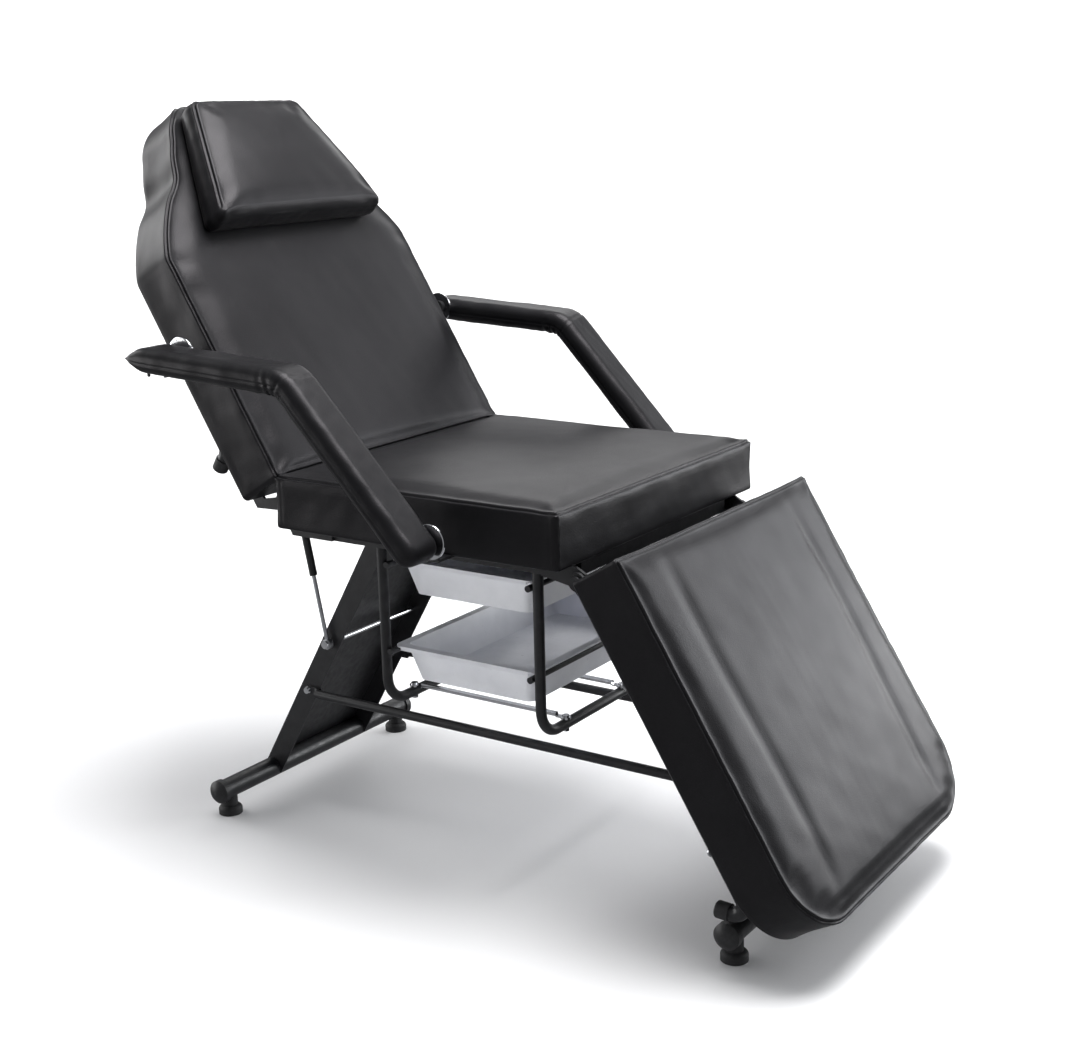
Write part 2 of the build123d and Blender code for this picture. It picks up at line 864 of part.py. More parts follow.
def peg_cap(start, tip):
    """A rubber cap over the last stretch of a tube."""
    way = (tip - start).normalized()
    outer = body_tube / 2 + end_cap_wall
    with BuildPart() as cap:
        with BuildSketch(Plane(origin=tip - way * end_cap_length, z_dir=way)):
            Circle(outer)
        extrude(amount=end_cap_length + 2 * end_cap_wall)
        fillet(cap.faces().sort_by(Axis(tip, way))[-1].edges(), end_cap_wall * 2)
        add(rod(tip - way * (end_cap_length + cut_overrun), tip, body_tube / 2), mode=Mode.SUBTRACT)
    return cap.part


def brace(plane, along, depth):
    """A cross tube fitted between the two frame tubes."""
    ends = [at(plane, along, side * body_tube_offset, -depth) for side in (-1, 1)]
    level = depth - brace_diameter / 2 + body_tube / 2
    with BuildPart() as bar:
        add(tube(ends, brace_diameter, body_tube_wall))
        for side in (-1, 1):
            across = side * body_tube_offset
            runs = [at(plane, along + reach, across, -level) for reach in (-body_tube, body_tube)]
            add(rod(*runs, body_tube / 2), mode=Mode.SUBTRACT)
    return bar.part.solids().sort_by(SortBy.VOLUME)[-1]


back_tube_top = back_end_reach + back_length * back_tube_share
back_turn = back_end_reach + back_length * back_turn_share
foot_turn = foot_end_reach + foot_length * foot_turn_share
back_braces = [back_end_reach + back_length * share for share in back_brace_shares]
foot_braces = [foot_end_reach + foot_length * share for share in foot_brace_shares]
for label, plane, top, turn, thickness, peg, bend, braces in (
    ("backrest", back, back_tube_top, back_turn, back_thickness, back_peg, back_tube_bend, back_braces),
    ("footrest", foot, hinge_boss, foot_turn, foot_thickness, foot_peg, foot_tube_bend, foot_braces),
):
    peg_caps = []
    for name, side in SIDES:
        path = frame_tube_path(plane, top, turn, thickness + body_tube / 2, peg, side)
        pipe = tube(path, body_tube, body_tube_wall, bend)
        save(drill(pipe, drills[label]), f"{label}_tube_{name}")
        peg_caps.append(peg_cap(path[1], path[2]))
    group(peg_caps, f"{label}_tube_caps")
    depth = thickness + brace_diameter / 2
    group([brace(plane, along, depth) for along in braces], f"{label}_braces")


# Tray hoops, rails and tie rods

rear_hoop_x = seat_rear_x + seat_length * rear_hoop_share
front_hoop_x = seat_rear_x + seat_length * front_hoop_share
tie_spots = (-tie_rod_spacing, 0, tie_rod_spacing)
for name, hoop_x in (("rear_hoop", rear_hoop_x), ("front_hoop", front_hoop_x)):
    corners = [
        (hoop_x, -rail_offset, rail_bottom),
        (hoop_x, -rail_offset, hoop_low),
        (hoop_x, rail_offset, hoop_low),
        (hoop_x, rail_offset, rail_bottom),
    ]
    hoop_bores = [
        rod((hoop_x, spot, hoop_low - hoop_diameter), (hoop_x, spot, hoop_low + hoop_diameter), bore_radius)
        for spot in tie_spots
    ]
    save(drill(tube(corners, hoop_diameter, hoop_wall, hoop_bend), hoop_bores), name)

rail_half = rail_offset + rail_overhang
rail_step = (hoop_diameter + rail_rod) / 2
rail_rear = rear_hoop_x + rail_step
rail_front = front_hoop_x - rail_step
rails = [
    rod((rail_x, -rail_half, height), (rail_x, rail_half, height), rail_rod / 2)
    for height in (upper_rail_height, lower_rail_height)
    for rail_x in (rail_rear, rail_front)
]
group(rails, "tray_rails")

tie_rods = []
tie_screws = []
tie_height = hoop_low + hoop_diameter / 2
tie_centre = tie_height + tie_rod_diameter / 2
tie_ends = (rear_hoop_x + hoop_diameter, front_hoop_x - hoop_diameter)
for spot in tie_spots:
    with BuildPart() as tie:
        add(rod(*[(end, spot, tie_centre) for end in tie_ends], tie_rod_diameter / 2))
        for hoop_x, reach in ((rear_hoop_x, -1), (front_hoop_x, 1)):
            with BuildSketch(Plane((hoop_x, spot, tie_height), x_dir=(reach, 0, 0), z_dir=(0, 0, 1))):
                with Locations((-hoop_diameter / 2, 0)):
                    Rectangle(hoop_diameter, tie_rod_diameter)
                Circle(hoop_diameter / 2)
                Circle(bore_radius, mode=Mode.SUBTRACT)
            extrude(amount=tie_tongue)
    tie_rods.append(tie.part)
    for hoop_x in (rear_hoop_x, front_hoop_x):
        top = tie_height + tie_tongue
        under = hoop_low - hoop_diameter / 2
        with BuildPart() as tie_screw:
            add(rod((hoop_x, spot, under - screw_nut_height), (hoop_x, spot, top), screw_radius))
            with BuildSketch(Plane((hoop_x, spot, top))):
                Circle(screw_head_radius)
            extrude(amount=screw_head)
            with BuildSketch(Plane((hoop_x, spot, under))):
                RegularPolygon(screw_head_radius, 6)
            extrude(amount=-screw_nut_height)
        tie_screws.append(tie_screw.part)
group(tie_rods, "tray_tie_rods")
group(tie_screws, "tie_rod_screws")


# Pull-out trays that hang by their rims on the rails

tray_middle = (rail_rear + rail_front) / 2
rim_span = front_hoop_x - rear_hoop_x - hoop_diameter - 2 * tray_side_gap
mouth_span = rim_span - 2 * tray_rim
mouth_length = tray_length - 2 * tray_rim


def tray_slice(height, shrink):
    """One rounded outline of the tray, narrower by shrink on every side."""
    with BuildSketch(Plane((tray_middle, 0, height))) as outline:
        RectangleRounded(mouth_span - 2 * shrink, mouth_length - 2 * shrink, tray_corner)
    return outline.sketch


for height_name, height in (("upper", upper_rail_height), ("lower", lower_rail_height)):
    rim_base = height + rail_rod / 2
    rim_top = rim_base + tray_wall
    floor = rim_top - tray_depth
    with BuildPart() as tray:
        loft(sections=[tray_slice(floor, tray_taper), tray_slice(rim_base, 0)])
        with BuildSketch(Plane((tray_middle, 0, rim_base))):
            RectangleRounded(rim_span, tray_length, tray_corner)
        extrude(amount=tray_wall)
        slope = tray_taper * tray_wall / (tray_depth - tray_wall)
        hollow_low = tray_slice(floor + tray_wall, tray_taper + tray_wall - slope)
        hollow_high = tray_slice(rim_top, tray_wall - slope)
        loft(sections=[hollow_low, hollow_high], mode=Mode.SUBTRACT)
        for side in (-1, 1):
            edge = Plane((tray_middle, side * (tray_length - tray_wall) / 2, rim_base))
            with BuildSketch(edge):
                Rectangle(rim_span - 2 * tray_corner, tray_wall)
            extrude(amount=-tray_lip)
    save(tray.part, f"{height_name}_tray")


# Armrest pivots and the arms' centre line, in the plane of X and Z

front_pivot = Vector(seat_rear_x + seat_length * arm_pivot_share, 0, seat_top - arm_pivot_drop)
rear_pivot = at(back, back_end_reach + back_length * rear_disc_share, 0, -rear_disc_depth)
arm_corner = Vector(seat_rear_x + arm_corner_inset, 0, seat_top + arm_corner_rise)
arm_rear = Vector(seat_rear_x - arm_rear_reach, 0, seat_top + arm_rear_rise)
arm_slant = (front_pivot - arm_corner).normalized()
arm_low = front_pivot + arm_slant * arm_end_reach
arm_flat = (arm_rear - arm_corner).normalized()


def arm_sweep(start, end, height, across, depth, corner):
    """A bar that follows the arm's bend, across wide from its inner side."""
    path_points = [start, arm_corner, end]
    middle = Vector(0, depth, 0)
    with BuildPart() as bar:
        with BuildLine() as path:
            FilletPolyline(*[point + middle for point in path_points], radius=arm_bend)
        with BuildSketch(Plane(origin=path.line @ 0, x_dir=(0, 1, 0), z_dir=path.line % 0)):
            if corner:
                RectangleRounded(across, height, corner)
            else:
                Rectangle(across, height)
        sweep()
    return bar.part


arm_full = arm_rear - arm_flat * arm_tip_length
bar_rear = arm_rear - arm_flat * arm_bar_tip_gap
bar_low = arm_low - arm_slant * arm_bar_margin
arm_under = Vector(arm_flat.Z, 0, -arm_flat.X) * -1
stud_top = bar_rear - arm_flat * arm_stud_inset
stud_foot = stud_top + arm_under * (arm_height / 2 + arm_stud_drop)


def arm_tip(middle):
    """The sewn rear end of an armrest, drawn down to a flat lip."""
    plane = Plane(origin=arm_full + Vector(0, middle, 0), x_dir=(0, 1, 0), z_dir=arm_flat)
    sections = []
    for reach_share, height_share, width_share in arm_tip_shares:
        with BuildSketch(plane.offset(arm_tip_length * reach_share)) as section:
            RectangleRounded(arm_width * width_share, arm_height * height_share, arm_round * height_share)
        sections.append(section.sketch)
    with BuildPart() as tip:
        loft(sections=sections)
    return tip.part


bolt_reach = arm_side + (arm_width + arm_bar_thickness) / 2 + soft_gap
for name, side in SIDES:
    pad_middle = side * (arm_side + arm_width / 2)
    pivot_start = rear_pivot + Vector(0, side * (arm_side - cut_overrun), 0)
    pivot_end = rear_pivot + Vector(0, side * (arm_side + arm_width), 0)
    beside = Vector(0, pad_middle, 0)
    with BuildPart() as bar:
        add(arm_sweep(bar_rear, bar_low, arm_bar_height, arm_bar_thickness, pad_middle, 0))
        add(rod(stud_top + beside, stud_foot + beside, arm_stud_radius))
        add(rod(pivot_start, pivot_end, bolt_radius + pin_clearance), mode=Mode.SUBTRACT)
    save(bar.part, f"armrest_bar_{name}")
    pocket = arm_sweep(
        bar_rear + arm_flat * soft_gap,
        bar_low + arm_slant * soft_gap,
        arm_bar_height + 2 * soft_gap,
        arm_bar_thickness + 2 * soft_gap,
        pad_middle,
        0,
    )
    head_end = rear_pivot + Vector(0, side * (bolt_reach + bolt_head + soft_gap), 0)
    with BuildPart() as pad:
        add(arm_sweep(arm_full, arm_low, arm_height, arm_width, pad_middle, arm_round))
        fillet(pad.faces().sort_by(Axis.Z)[0].edges(), arm_low_round)
        add(arm_tip(pad_middle))
        add(pocket, mode=Mode.SUBTRACT)
        add(rod(stud_top + beside, stud_foot + beside, arm_stud_radius + soft_gap), mode=Mode.SUBTRACT)
        add(rod(pivot_start, head_end, bolt_head_radius + soft_gap), mode=Mode.SUBTRACT)
    save(pad.part, f"armrest_pad_{name}")


# Armrest brackets, discs and pivot bolts


def arm_bracket(plane, pivot, start, depth, side, bored):
    """An angle whose upright carries an armrest's disc beside the cushion."""
    spot = plane.to_local_coords(pivot)
    rise = spot.Z + depth + bracket_thickness
    low = pivot - plane.z_dir * rise
    beside = Vector(0, side * bracket_side, 0)
    with BuildPart() as bracket:
        with BuildSketch(
            Plane(low + Vector(0, side * (start + disc_side) / 2, 0), x_dir=plane.x_dir, z_dir=plane.z_dir)
        ):
            Rectangle(bracket_width, disc_side - start)
        extrude(amount=bracket_thickness)
        upright = Plane(low + plane.z_dir * rise / 2 + beside, x_dir=plane.x_dir, z_dir=(0, side, 0))
        with BuildSketch(upright):
            Rectangle(bracket_width, rise)
        extrude(amount=bracket_thickness)
        with BuildSketch(Plane(pivot + beside, z_dir=(0, side, 0))):
            Circle(bracket_width / 2)
        extrude(amount=bracket_thickness)
        if bored:
            ends = [pivot + Vector(0, side * across, 0) for across in (start, disc_side + cut_overrun)]
            add(rod(*ends, bolt_radius), mode=Mode.SUBTRACT)
    return bracket.part


def arm_disc(pivot, side, bored):
    """The round plate between a bracket and an armrest."""
    with BuildPart() as disc:
        with BuildSketch(Plane(pivot + Vector(0, side * disc_side, 0), z_dir=(0, side, 0))):
            Circle(disc_diameter / 2)
        extrude(amount=disc_thickness)
        fillet(disc.faces().sort_by(Axis((0, 0, 0), (0, side, 0)))[-1].edges(), disc_edge)
        if bored:
            ends = [pivot + Vector(0, side * across, 0) for across in (bracket_side, arm_side)]
            add(rod(*ends, bolt_radius), mode=Mode.SUBTRACT)
    return disc.part


def pivot_bolt(pivot, side, reach):
    """A bolt from a bracket's inner face, with a head at its outer end."""
    inner = pivot + Vector(0, side * bracket_side, 0)
    outer = pivot + Vector(0, side * reach, 0)
    with BuildPart() as bolt:
        add(rod(inner, outer, bolt_radius))
        with BuildSketch(Plane(outer, z_dir=(0, side, 0))):
            Circle(bolt_head_radius)
        extrude(amount=bolt_head - soft_gap)
    return bolt.part


tube_outside = body_tube_offset + body_tube / 2
for label, plane, pivot, start, depth, bored in (
    ("seat", seat, front_pivot, rail_outer, seat_thickness, False),
    ("backrest", back, rear_pivot, tube_outside, back_thickness, True),
):
    brackets = [arm_bracket(plane, pivot, start, depth, side, bored) for side in (-1, 1)]
    group(brackets, f"{label}_arm_brackets")
    group([arm_disc(pivot, side, bored) for side in (-1, 1)], f"{label}_arm_discs")
group([pivot_bolt(rear_pivot, side, bolt_reach) for side in (-1, 1)], "arm_pivot_bolts")


# Recline strut: a tube hung from the backrest slides on a rod pinned to the column

strut_middle = -column_half - strut_gap - strut_tube / 2
strut_inner = strut_middle + strut_eye_thickness / 2
strut_outer = strut_middle - strut_eye_thickness / 2
foot_point = Vector(strut_foot.X, strut_middle, strut_foot.Z)
head_point = at(back, strut_head_along, 0, -strut_head_depth) + Vector(0, strut_middle, 0)
strut_way = (head_point - foot_point).normalized()
strut_bore = strut_rod_diameter / 2 + pin_clearance


def strut_eye(place, bore):
    """A flat round eye for a strut's end."""
    with BuildPart() as eye:
        with BuildSketch(Plane((place.X, strut_inner, place.Z), z_dir=(0, -1, 0))):
            Circle(strut_eye_radius)
            Circle(bore, mode=Mode.SUBTRACT)
        extrude(amount=strut_eye_thickness)
    return eye.part


with BuildPart() as strut_rod:
    add(rod(foot_point, foot_point + strut_way * strut_rod_length, strut_rod_diameter / 2))
    pin_ends = [(foot_point.X, side * column_width, foot_point.Z) for side in (-1, 1)]
    add(rod(*pin_ends, strut_eye_radius), mode=Mode.SUBTRACT)
    add(strut_eye(foot_point, bolt_radius + pin_clearance))
save(strut_rod.part, "strut_rod")

strut_open_end = head_point - strut_way * strut_tube_length
bore_reach = strut_rod_length + strut_travel + strut_bore_margin
bore_end = foot_point + strut_way * bore_reach
with BuildPart() as strut_cylinder:
    add(rod(strut_open_end, head_point, strut_tube / 2))
    pin_ends = [(head_point.X, side * column_width, head_point.Z) for side in (-1, 1)]
    add(rod(*pin_ends, strut_eye_radius), mode=Mode.SUBTRACT)
    add(rod(strut_open_end - strut_way * cut_overrun, bore_end, strut_bore), mode=Mode.SUBTRACT)
    add(strut_eye(head_point, bolt_radius))
save(strut_cylinder.part.solids().sort_by(SortBy.VOLUME)[-1], "strut_tube")

bolt_outer, collar_outer, nut_face = [
    Vector(foot_point.X, place, foot_point.Z)
    for place in (strut_outer - strut_pin_gap, strut_inner + strut_pin_gap, column_half)
]
with BuildPart() as strut_lower_bolt:
    add(rod(bolt_outer, nut_face, bolt_radius))
    add(rod(Vector(foot_point.X, -column_half, foot_point.Z), collar_outer, bolt_head_radius))
    with BuildSketch(Plane(bolt_outer, z_dir=(0, -1, 0))):
        Circle(bolt_head_radius)
    extrude(amount=bolt_head)
    with BuildSketch(Plane(nut_face, z_dir=(0, 1, 0))):
        RegularPolygon(nut_radius, 6)
    extrude(amount=nut_height)
save(strut_lower_bolt.part, "strut_lower_bolt")

lug_face = strut_inner + strut_lug_gap
with BuildPart() as strut_upper_bolt:
    pin_tip = lug_face - strut_pin_gap
    add(rod((head_point.X, strut_outer, head_point.Z), (head_point.X, pin_tip, head_point.Z), bolt_radius))
    with BuildSketch(Plane((head_point.X, strut_outer, head_point.Z), z_dir=(0, -1, 0))):
        Circle(bolt_head_radius)
    extrude(amount=bolt_head)
save(strut_upper_bolt.part, "strut_upper_bolt")

brace_drop = back_thickness + brace_diameter / 2
lug_root = at(back, back_braces[0], 0, -brace_drop)
lug_way = (head_point - Vector(0, strut_middle, 0) - lug_root).normalized()
lug_side = Vector(lug_way.Z, 0, -lug_way.X) * strut_lug_edge
lug_tip = Vector(head_point.X, 0, head_point.Z)
lug_corners = [lug_root + lug_side, lug_tip + lug_side, lug_tip - lug_side, lug_root - lug_side]
with BuildPart() as strut_lug:
    with BuildSketch(Plane((0, lug_face, 0), x_dir=(1, 0, 0), z_dir=(0, -1, 0))):
        with BuildLine():
            Polyline(*[(corner.X, corner.Z) for corner in lug_corners], close=True)
        make_face()
        with Locations((lug_tip.X, lug_tip.Z)):
            Circle(strut_lug_edge)
    extrude(amount=-hinge_plate)
    brace_line = [lug_root + Vector(0, side * column_width, 0) for side in (-1, 1)]
    add(rod(*brace_line, brace_diameter / 2), mode=Mode.SUBTRACT)
save(strut_lug.part.solids().sort_by(SortBy.VOLUME)[-1], "strut_lug")


# Head pillow

pillow_foot = at(back, pillow_bottom, 0, pillow_bottom_rise)
pillow_head = at(back, pillow_bottom + pillow_length, 0, pillow_top_rise)
pillow_way = (pillow_head - pillow_foot).normalized()
pillow_base = Plane(pillow_foot, x_dir=pillow_way, z_dir=pillow_way.cross(back.y_dir))


def pillow_slice(station):
    share = station / pillow_length
    inset = rounding(min(station, pillow_length - station), pillow_edge)
    half = (pillow_bottom_width + (pillow_top_width - pillow_bottom_width) * share) / 2
    height = pillow_bottom_height + (pillow_top_height - pillow_bottom_height) * share
    crown = pillow_crown * swell(share) + soft_gap
    thickness = height - pillow_crown
    middle = at(pillow_base, station, 0, thickness)
    plane = Plane(origin=middle, x_dir=pillow_base.y_dir, z_dir=pillow_base.x_dir)
    return cushion_section(plane, half - inset, thickness, inset, crown)


with BuildPart() as pillow:
    for span in spans(pillow_length, pillow_edge, pillow_edge, middle_shares):
        loft(sections=[pillow_slice(station) for station in span])
save(pillow.part, "head_pillow")
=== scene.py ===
"""The look of a reclining treatment chair: upholstery, finishes, light and camera.

Metres in Blender, millimetres in the cushion code, in the model's own frame:
X from head to foot, Y to the sitter's left, Z up.
"""

import json
import math

import bmesh
import bpy
import numpy as np
from mathutils import Matrix, Vector
from mathutils.kdtree import KDTree


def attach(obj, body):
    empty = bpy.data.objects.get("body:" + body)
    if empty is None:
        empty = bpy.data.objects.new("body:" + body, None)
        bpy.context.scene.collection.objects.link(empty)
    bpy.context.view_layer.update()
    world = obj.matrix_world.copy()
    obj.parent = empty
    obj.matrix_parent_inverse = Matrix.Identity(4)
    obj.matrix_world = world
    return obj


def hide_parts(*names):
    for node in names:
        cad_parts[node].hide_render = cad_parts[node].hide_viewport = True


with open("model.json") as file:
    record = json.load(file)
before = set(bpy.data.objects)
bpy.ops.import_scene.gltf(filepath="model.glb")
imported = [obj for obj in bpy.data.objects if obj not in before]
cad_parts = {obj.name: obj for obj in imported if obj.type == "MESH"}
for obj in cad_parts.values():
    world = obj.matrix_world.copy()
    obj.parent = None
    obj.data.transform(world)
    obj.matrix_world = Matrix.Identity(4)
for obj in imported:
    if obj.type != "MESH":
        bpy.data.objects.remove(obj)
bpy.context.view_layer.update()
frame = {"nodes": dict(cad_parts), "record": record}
nodes = frame["nodes"]
scene = bpy.context.scene
scene.view_settings.view_transform = "Standard"


# Camera

yaw, pitch, roll = math.radians(34.23), math.radians(14.38), math.radians(-1.36)
ahead = Vector((-math.sin(yaw) * math.cos(pitch), math.cos(yaw) * math.cos(pitch), -math.sin(pitch)))
right = Vector((math.cos(yaw), math.sin(yaw), 0))
up = right.cross(ahead)
view_x = right * math.cos(roll) + up * math.sin(roll)
view_y = up * math.cos(roll) - right * math.sin(roll)
camera_data = bpy.data.cameras.new("camera")
camera_data.sensor_fit = "HORIZONTAL"
camera_data.sensor_width = 36
camera_data.lens = 55.07
camera = bpy.data.objects.new("camera", camera_data)
scene.collection.objects.link(camera)
turn = Matrix((view_x, view_y, -ahead)).transposed().to_4x4()
camera.matrix_world = Matrix.Translation((1.4682, -2.0862, 1.1541)) @ turn
scene.camera = camera


# Materials


def material(name, colour, roughness, metallic=0.0, specular=0.5):
    """A new material, its node tree and its main shader with the plain values set."""
    made = bpy.data.materials.new(name)
    made.use_nodes = True
    tree = made.node_tree
    shader = tree.nodes["Principled BSDF"]
    shader.inputs["Base Color"].default_value = (*colour, 1)
    shader.inputs["Roughness"].default_value = roughness
    shader.inputs["Metallic"].default_value = metallic
    shader.inputs["Specular IOR Level"].default_value = specular
    return made, tree, shader


def noise(tree, scale, detail=3.0, roughness=0.5, stretch=None):
    """Noise over the piece's own coordinates, in metres, stretched along an axis if given."""
    coordinates = tree.nodes.new("ShaderNodeTexCoord")
    source = coordinates.outputs["Object"]
    if stretch:
        mapping = tree.nodes.new("ShaderNodeMapping")
        mapping.inputs["Scale"].default_value = stretch
        tree.links.new(source, mapping.inputs["Vector"])
        source = mapping.outputs["Vector"]
    made = tree.nodes.new("ShaderNodeTexNoise")
    made.inputs["Scale"].default_value = scale
    made.inputs["Detail"].default_value = detail
    made.inputs["Roughness"].default_value = roughness
    tree.links.new(source, made.inputs["Vector"])
    return made.outputs["Fac"]


def cells(tree, scale, smooth=0.4):
    """Rounded cells, for the pebbled grain of leather."""
    coordinates = tree.nodes.new("ShaderNodeTexCoord")
    wobble = tree.nodes.new("ShaderNodeTexNoise")
    wobble.inputs["Scale"].default_value = scale * 0.35
    wobble.inputs["Detail"].default_value = 2
    mix = tree.nodes.new("ShaderNodeVectorMath")
    mix.operation = "MULTIPLY_ADD"
    mix.inputs[1].default_value = (1.4 / scale,) * 3
    made = tree.nodes.new("ShaderNodeTexVoronoi")
    made.feature = "SMOOTH_F1"
    made.inputs["Scale"].default_value = scale
    made.inputs["Smoothness"].default_value = smooth
    tree.links.new(coordinates.outputs["Object"], wobble.inputs["Vector"])
    tree.links.new(wobble.outputs["Color"], mix.inputs[0])
    tree.links.new(coordinates.outputs["Object"], mix.inputs[2])
    tree.links.new(mix.outputs["Vector"], made.inputs["Vector"])
    return made.outputs["Distance"]


def ramp(tree, source, stops):
    """A colour ramp over a value between 0 and 1."""
    made = tree.nodes.new("ShaderNodeValToRGB")
    while len(made.color_ramp.elements) < len(stops):
        made.color_ramp.elements.new(0.5)
    for element, (place, colour) in zip(made.color_ramp.elements, stops):
        element.position = place
        element.color = (*colour, 1)
    tree.links.new(source, made.inputs["Fac"])
    return made.outputs["Color"]


def spread(tree, source, low, high, low_in=0.3, high_in=0.7):
    """A value between 0 and 1 spread over another range."""
    made = tree.nodes.new("ShaderNodeMapRange")
    made.inputs["From Min"].default_value = low_in
    made.inputs["From Max"].default_value = high_in
    made.inputs["To Min"].default_value = low
    made.inputs["To Max"].default_value = high
    tree.links.new(source, made.inputs["Value"])
    return made.outputs["Result"]


def bump(tree, shader, layers):
    """Bumps on top of each other: each is a height, its distance in metres and its strength."""
    normal = None
    for height, distance, strength in layers:
        made = tree.nodes.new("ShaderNodeBump")
        made.inputs["Distance"].default_value = distance
        made.inputs["Strength"].default_value = strength
        tree.links.new(height, made.inputs["Height"])
        if normal is not None:
            tree.links.new(normal, made.inputs["Normal"])
        normal = made.outputs["Normal"]
    tree.links.new(normal, shader.inputs["Normal"])


def leather(name, dark, light, roughness, grain=620.0):
    """Black imitation leather: pebbled grain, faint creases, uneven gloss and worn tone."""
    made, tree, shader = material(name, dark, roughness, specular=0.19)
    tone = noise(tree, 5.5, 4.0, 0.55)
    tree.links.new(ramp(tree, tone, ((0.3, dark), (0.72, light))), shader.inputs["Base Color"])
    gloss = noise(tree, 12.0, 3.0, 0.5)
    tree.links.new(spread(tree, gloss, roughness - 0.02, roughness + 0.025), shader.inputs["Roughness"])
    shader.inputs["Specular Tint"].default_value = (1.0, 0.955, 1.0, 1)
    creases = noise(tree, 34.0, 6.0, 0.62, (1.0, 0.45, 1.0))
    bump(
        tree,
        shader,
        (
            (noise(tree, 9.0, 1.0), 0.004, 0.14),
            (creases, 0.0012, 0.10),
            (cells(tree, grain), 0.00022, 0.55),
            (noise(tree, grain * 2.6, 2.0), 0.00006, 0.4),
        ),
    )
    return made


def painted_steel():
    """Black powder coat with orange peel and slightly rubbed spots."""
    made, tree, shader = material("powder_coat_black", (0.011, 0.011, 0.0125), 0.42)
    patches = noise(tree, 40.0, 6.0, 0.65)
    stops = ((0.35, (0.009, 0.009, 0.0105)), (0.62, (0.015, 0.015, 0.017)), (0.8, (0.024, 0.024, 0.026)))
    tree.links.new(ramp(tree, patches, stops), shader.inputs["Base Color"])
    tree.links.new(spread(tree, noise(tree, 90.0, 4.0), 0.34, 0.5), shader.inputs["Roughness"])
    bump(tree, shader, ((noise(tree, 900.0, 2.0), 0.0002, 0.35), (noise(tree, 2600.0, 1.0), 0.00005, 0.3)))
    return made


def bright_steel(name, colour, roughness, streak):
    """Bare or plated steel with a fine drawn grain and dull smears."""
    made, tree, shader = material(name, colour, roughness, metallic=1.0)
    smears = noise(tree, 60.0, 5.0, 0.6)
    dull = tuple(0.82 * part for part in colour)
    tree.links.new(ramp(tree, smears, ((0.25, dull), (0.6, colour))), shader.inputs["Base Color"])
    tree.links.new(spread(tree, smears, roughness * 0.8, roughness * 1.5), shader.inputs["Roughness"])
    bump(tree, shader, ((noise(tree, 700.0, 3.0, 0.5, streak), 0.00005, 0.5),))
    return made


def tray_plastic():
    """Frosted pale plastic, a little cloudy, with faint scuffs."""
    made, tree, shader = material("tray_plastic", (0.62, 0.63, 0.655), 0.34)
    cloud = noise(tree, 14.0, 5.0, 0.55)
    stops = ((0.3, (0.57, 0.58, 0.61)), (0.7, (0.68, 0.69, 0.72)))
    tree.links.new(ramp(tree, cloud, stops), shader.inputs["Base Color"])
    tree.links.new(spread(tree, noise(tree, 120.0, 5.0, 0.7), 0.26, 0.46), shader.inputs["Roughness"])
    shader.inputs["Subsurface Weight"].default_value = 0.25
    shader.inputs["Subsurface Radius"].default_value = (0.012, 0.012, 0.013)
    shader.inputs["Subsurface Scale"].default_value = 0.5
    bump(tree, shader, ((noise(tree, 1500.0, 2.0), 0.00008, 0.35), (noise(tree, 30.0, 3.0), 0.0006, 0.12)))
    return made


def moulded(name, colour, roughness, peel):
    """Moulded black plastic or rubber with a fine spark-eroded texture."""
    made, tree, shader = material(name, colour, roughness)
    dust = noise(tree, 110.0, 6.0, 0.7)
    lighter = tuple(part * 2.4 for part in colour)
    tree.links.new(ramp(tree, dust, ((0.45, colour), (0.85, lighter))), shader.inputs["Base Color"])
    tree.links.new(spread(tree, dust, roughness - 0.06, roughness + 0.12), shader.inputs["Roughness"])
    bump(tree, shader, ((noise(tree, peel, 3.0), 0.00018, 0.5),))
    return made


def board():
    """The boards' black cloth undersides, woven fine."""
    made, tree, shader = material("board_cover", (0.02, 0.02, 0.021), 0.85)
    fibres = noise(tree, 260.0, 4.0, 0.6, (1.0, 3.0, 1.0))
    stops = ((0.3, (0.014, 0.014, 0.015)), (0.75, (0.034, 0.034, 0.036)))
    tree.links.new(ramp(tree, fibres, stops), shader.inputs["Base Color"])
    bump(tree, shader, ((fibres, 0.0003, 0.6), (noise(tree, 1900.0, 2.0), 0.0001, 0.5)))
    return made


black_leather = leather("black_leather", (0.0060, 0.0060, 0.0068), (0.0090, 0.0090, 0.0100), 0.40)
finishes = {
    "black_steel": painted_steel(),
    "zinc_steel": bright_steel("zinc_steel", (0.62, 0.63, 0.65), 0.30, (1.0, 1.0, 6.0)),
    "chrome": bright_steel("chrome", (0.82, 0.83, 0.85), 0.11, (5.0, 1.0, 1.0)),
    "tray_plastic": tray_plastic(),
    "black_rubber": moulded("black_rubber", (0.014, 0.014, 0.015), 0.66, 1400.0),
    "black_plastic": moulded("black_plastic", (0.013, 0.013, 0.014), 0.45, 2200.0),
    "plywood": board(),
    "black_upholstery": black_leather,
}
slot_of = {part["node"]: part["material_slot"] for part in frame["record"]["subparts"]}
for name, node in nodes.items():
    finish = finishes[slot_of[name]]
    if not node.data.materials:
        node.data.materials.append(finish)
    for index in range(len(node.data.materials)):
        node.data.materials[index] = finish


# Upholstery, in millimetres


class Face:
    """A cushion's face plane: where it starts, the way along it and the way out of it."""

    def __init__(self, origin, along, out):
        self.origin = np.array(origin, float)
        self.along = np.array(along, float) / np.linalg.norm(along)
        self.out = np.array(out, float) / np.linalg.norm(out)

    def place(self, along, across, out):
        along, across, out = (part[..., None] for part in np.broadcast_arrays(along, across, out))
        side = np.array((0.0, 1.0, 0.0))
        return self.origin + along * self.along + across * side + out * self.out


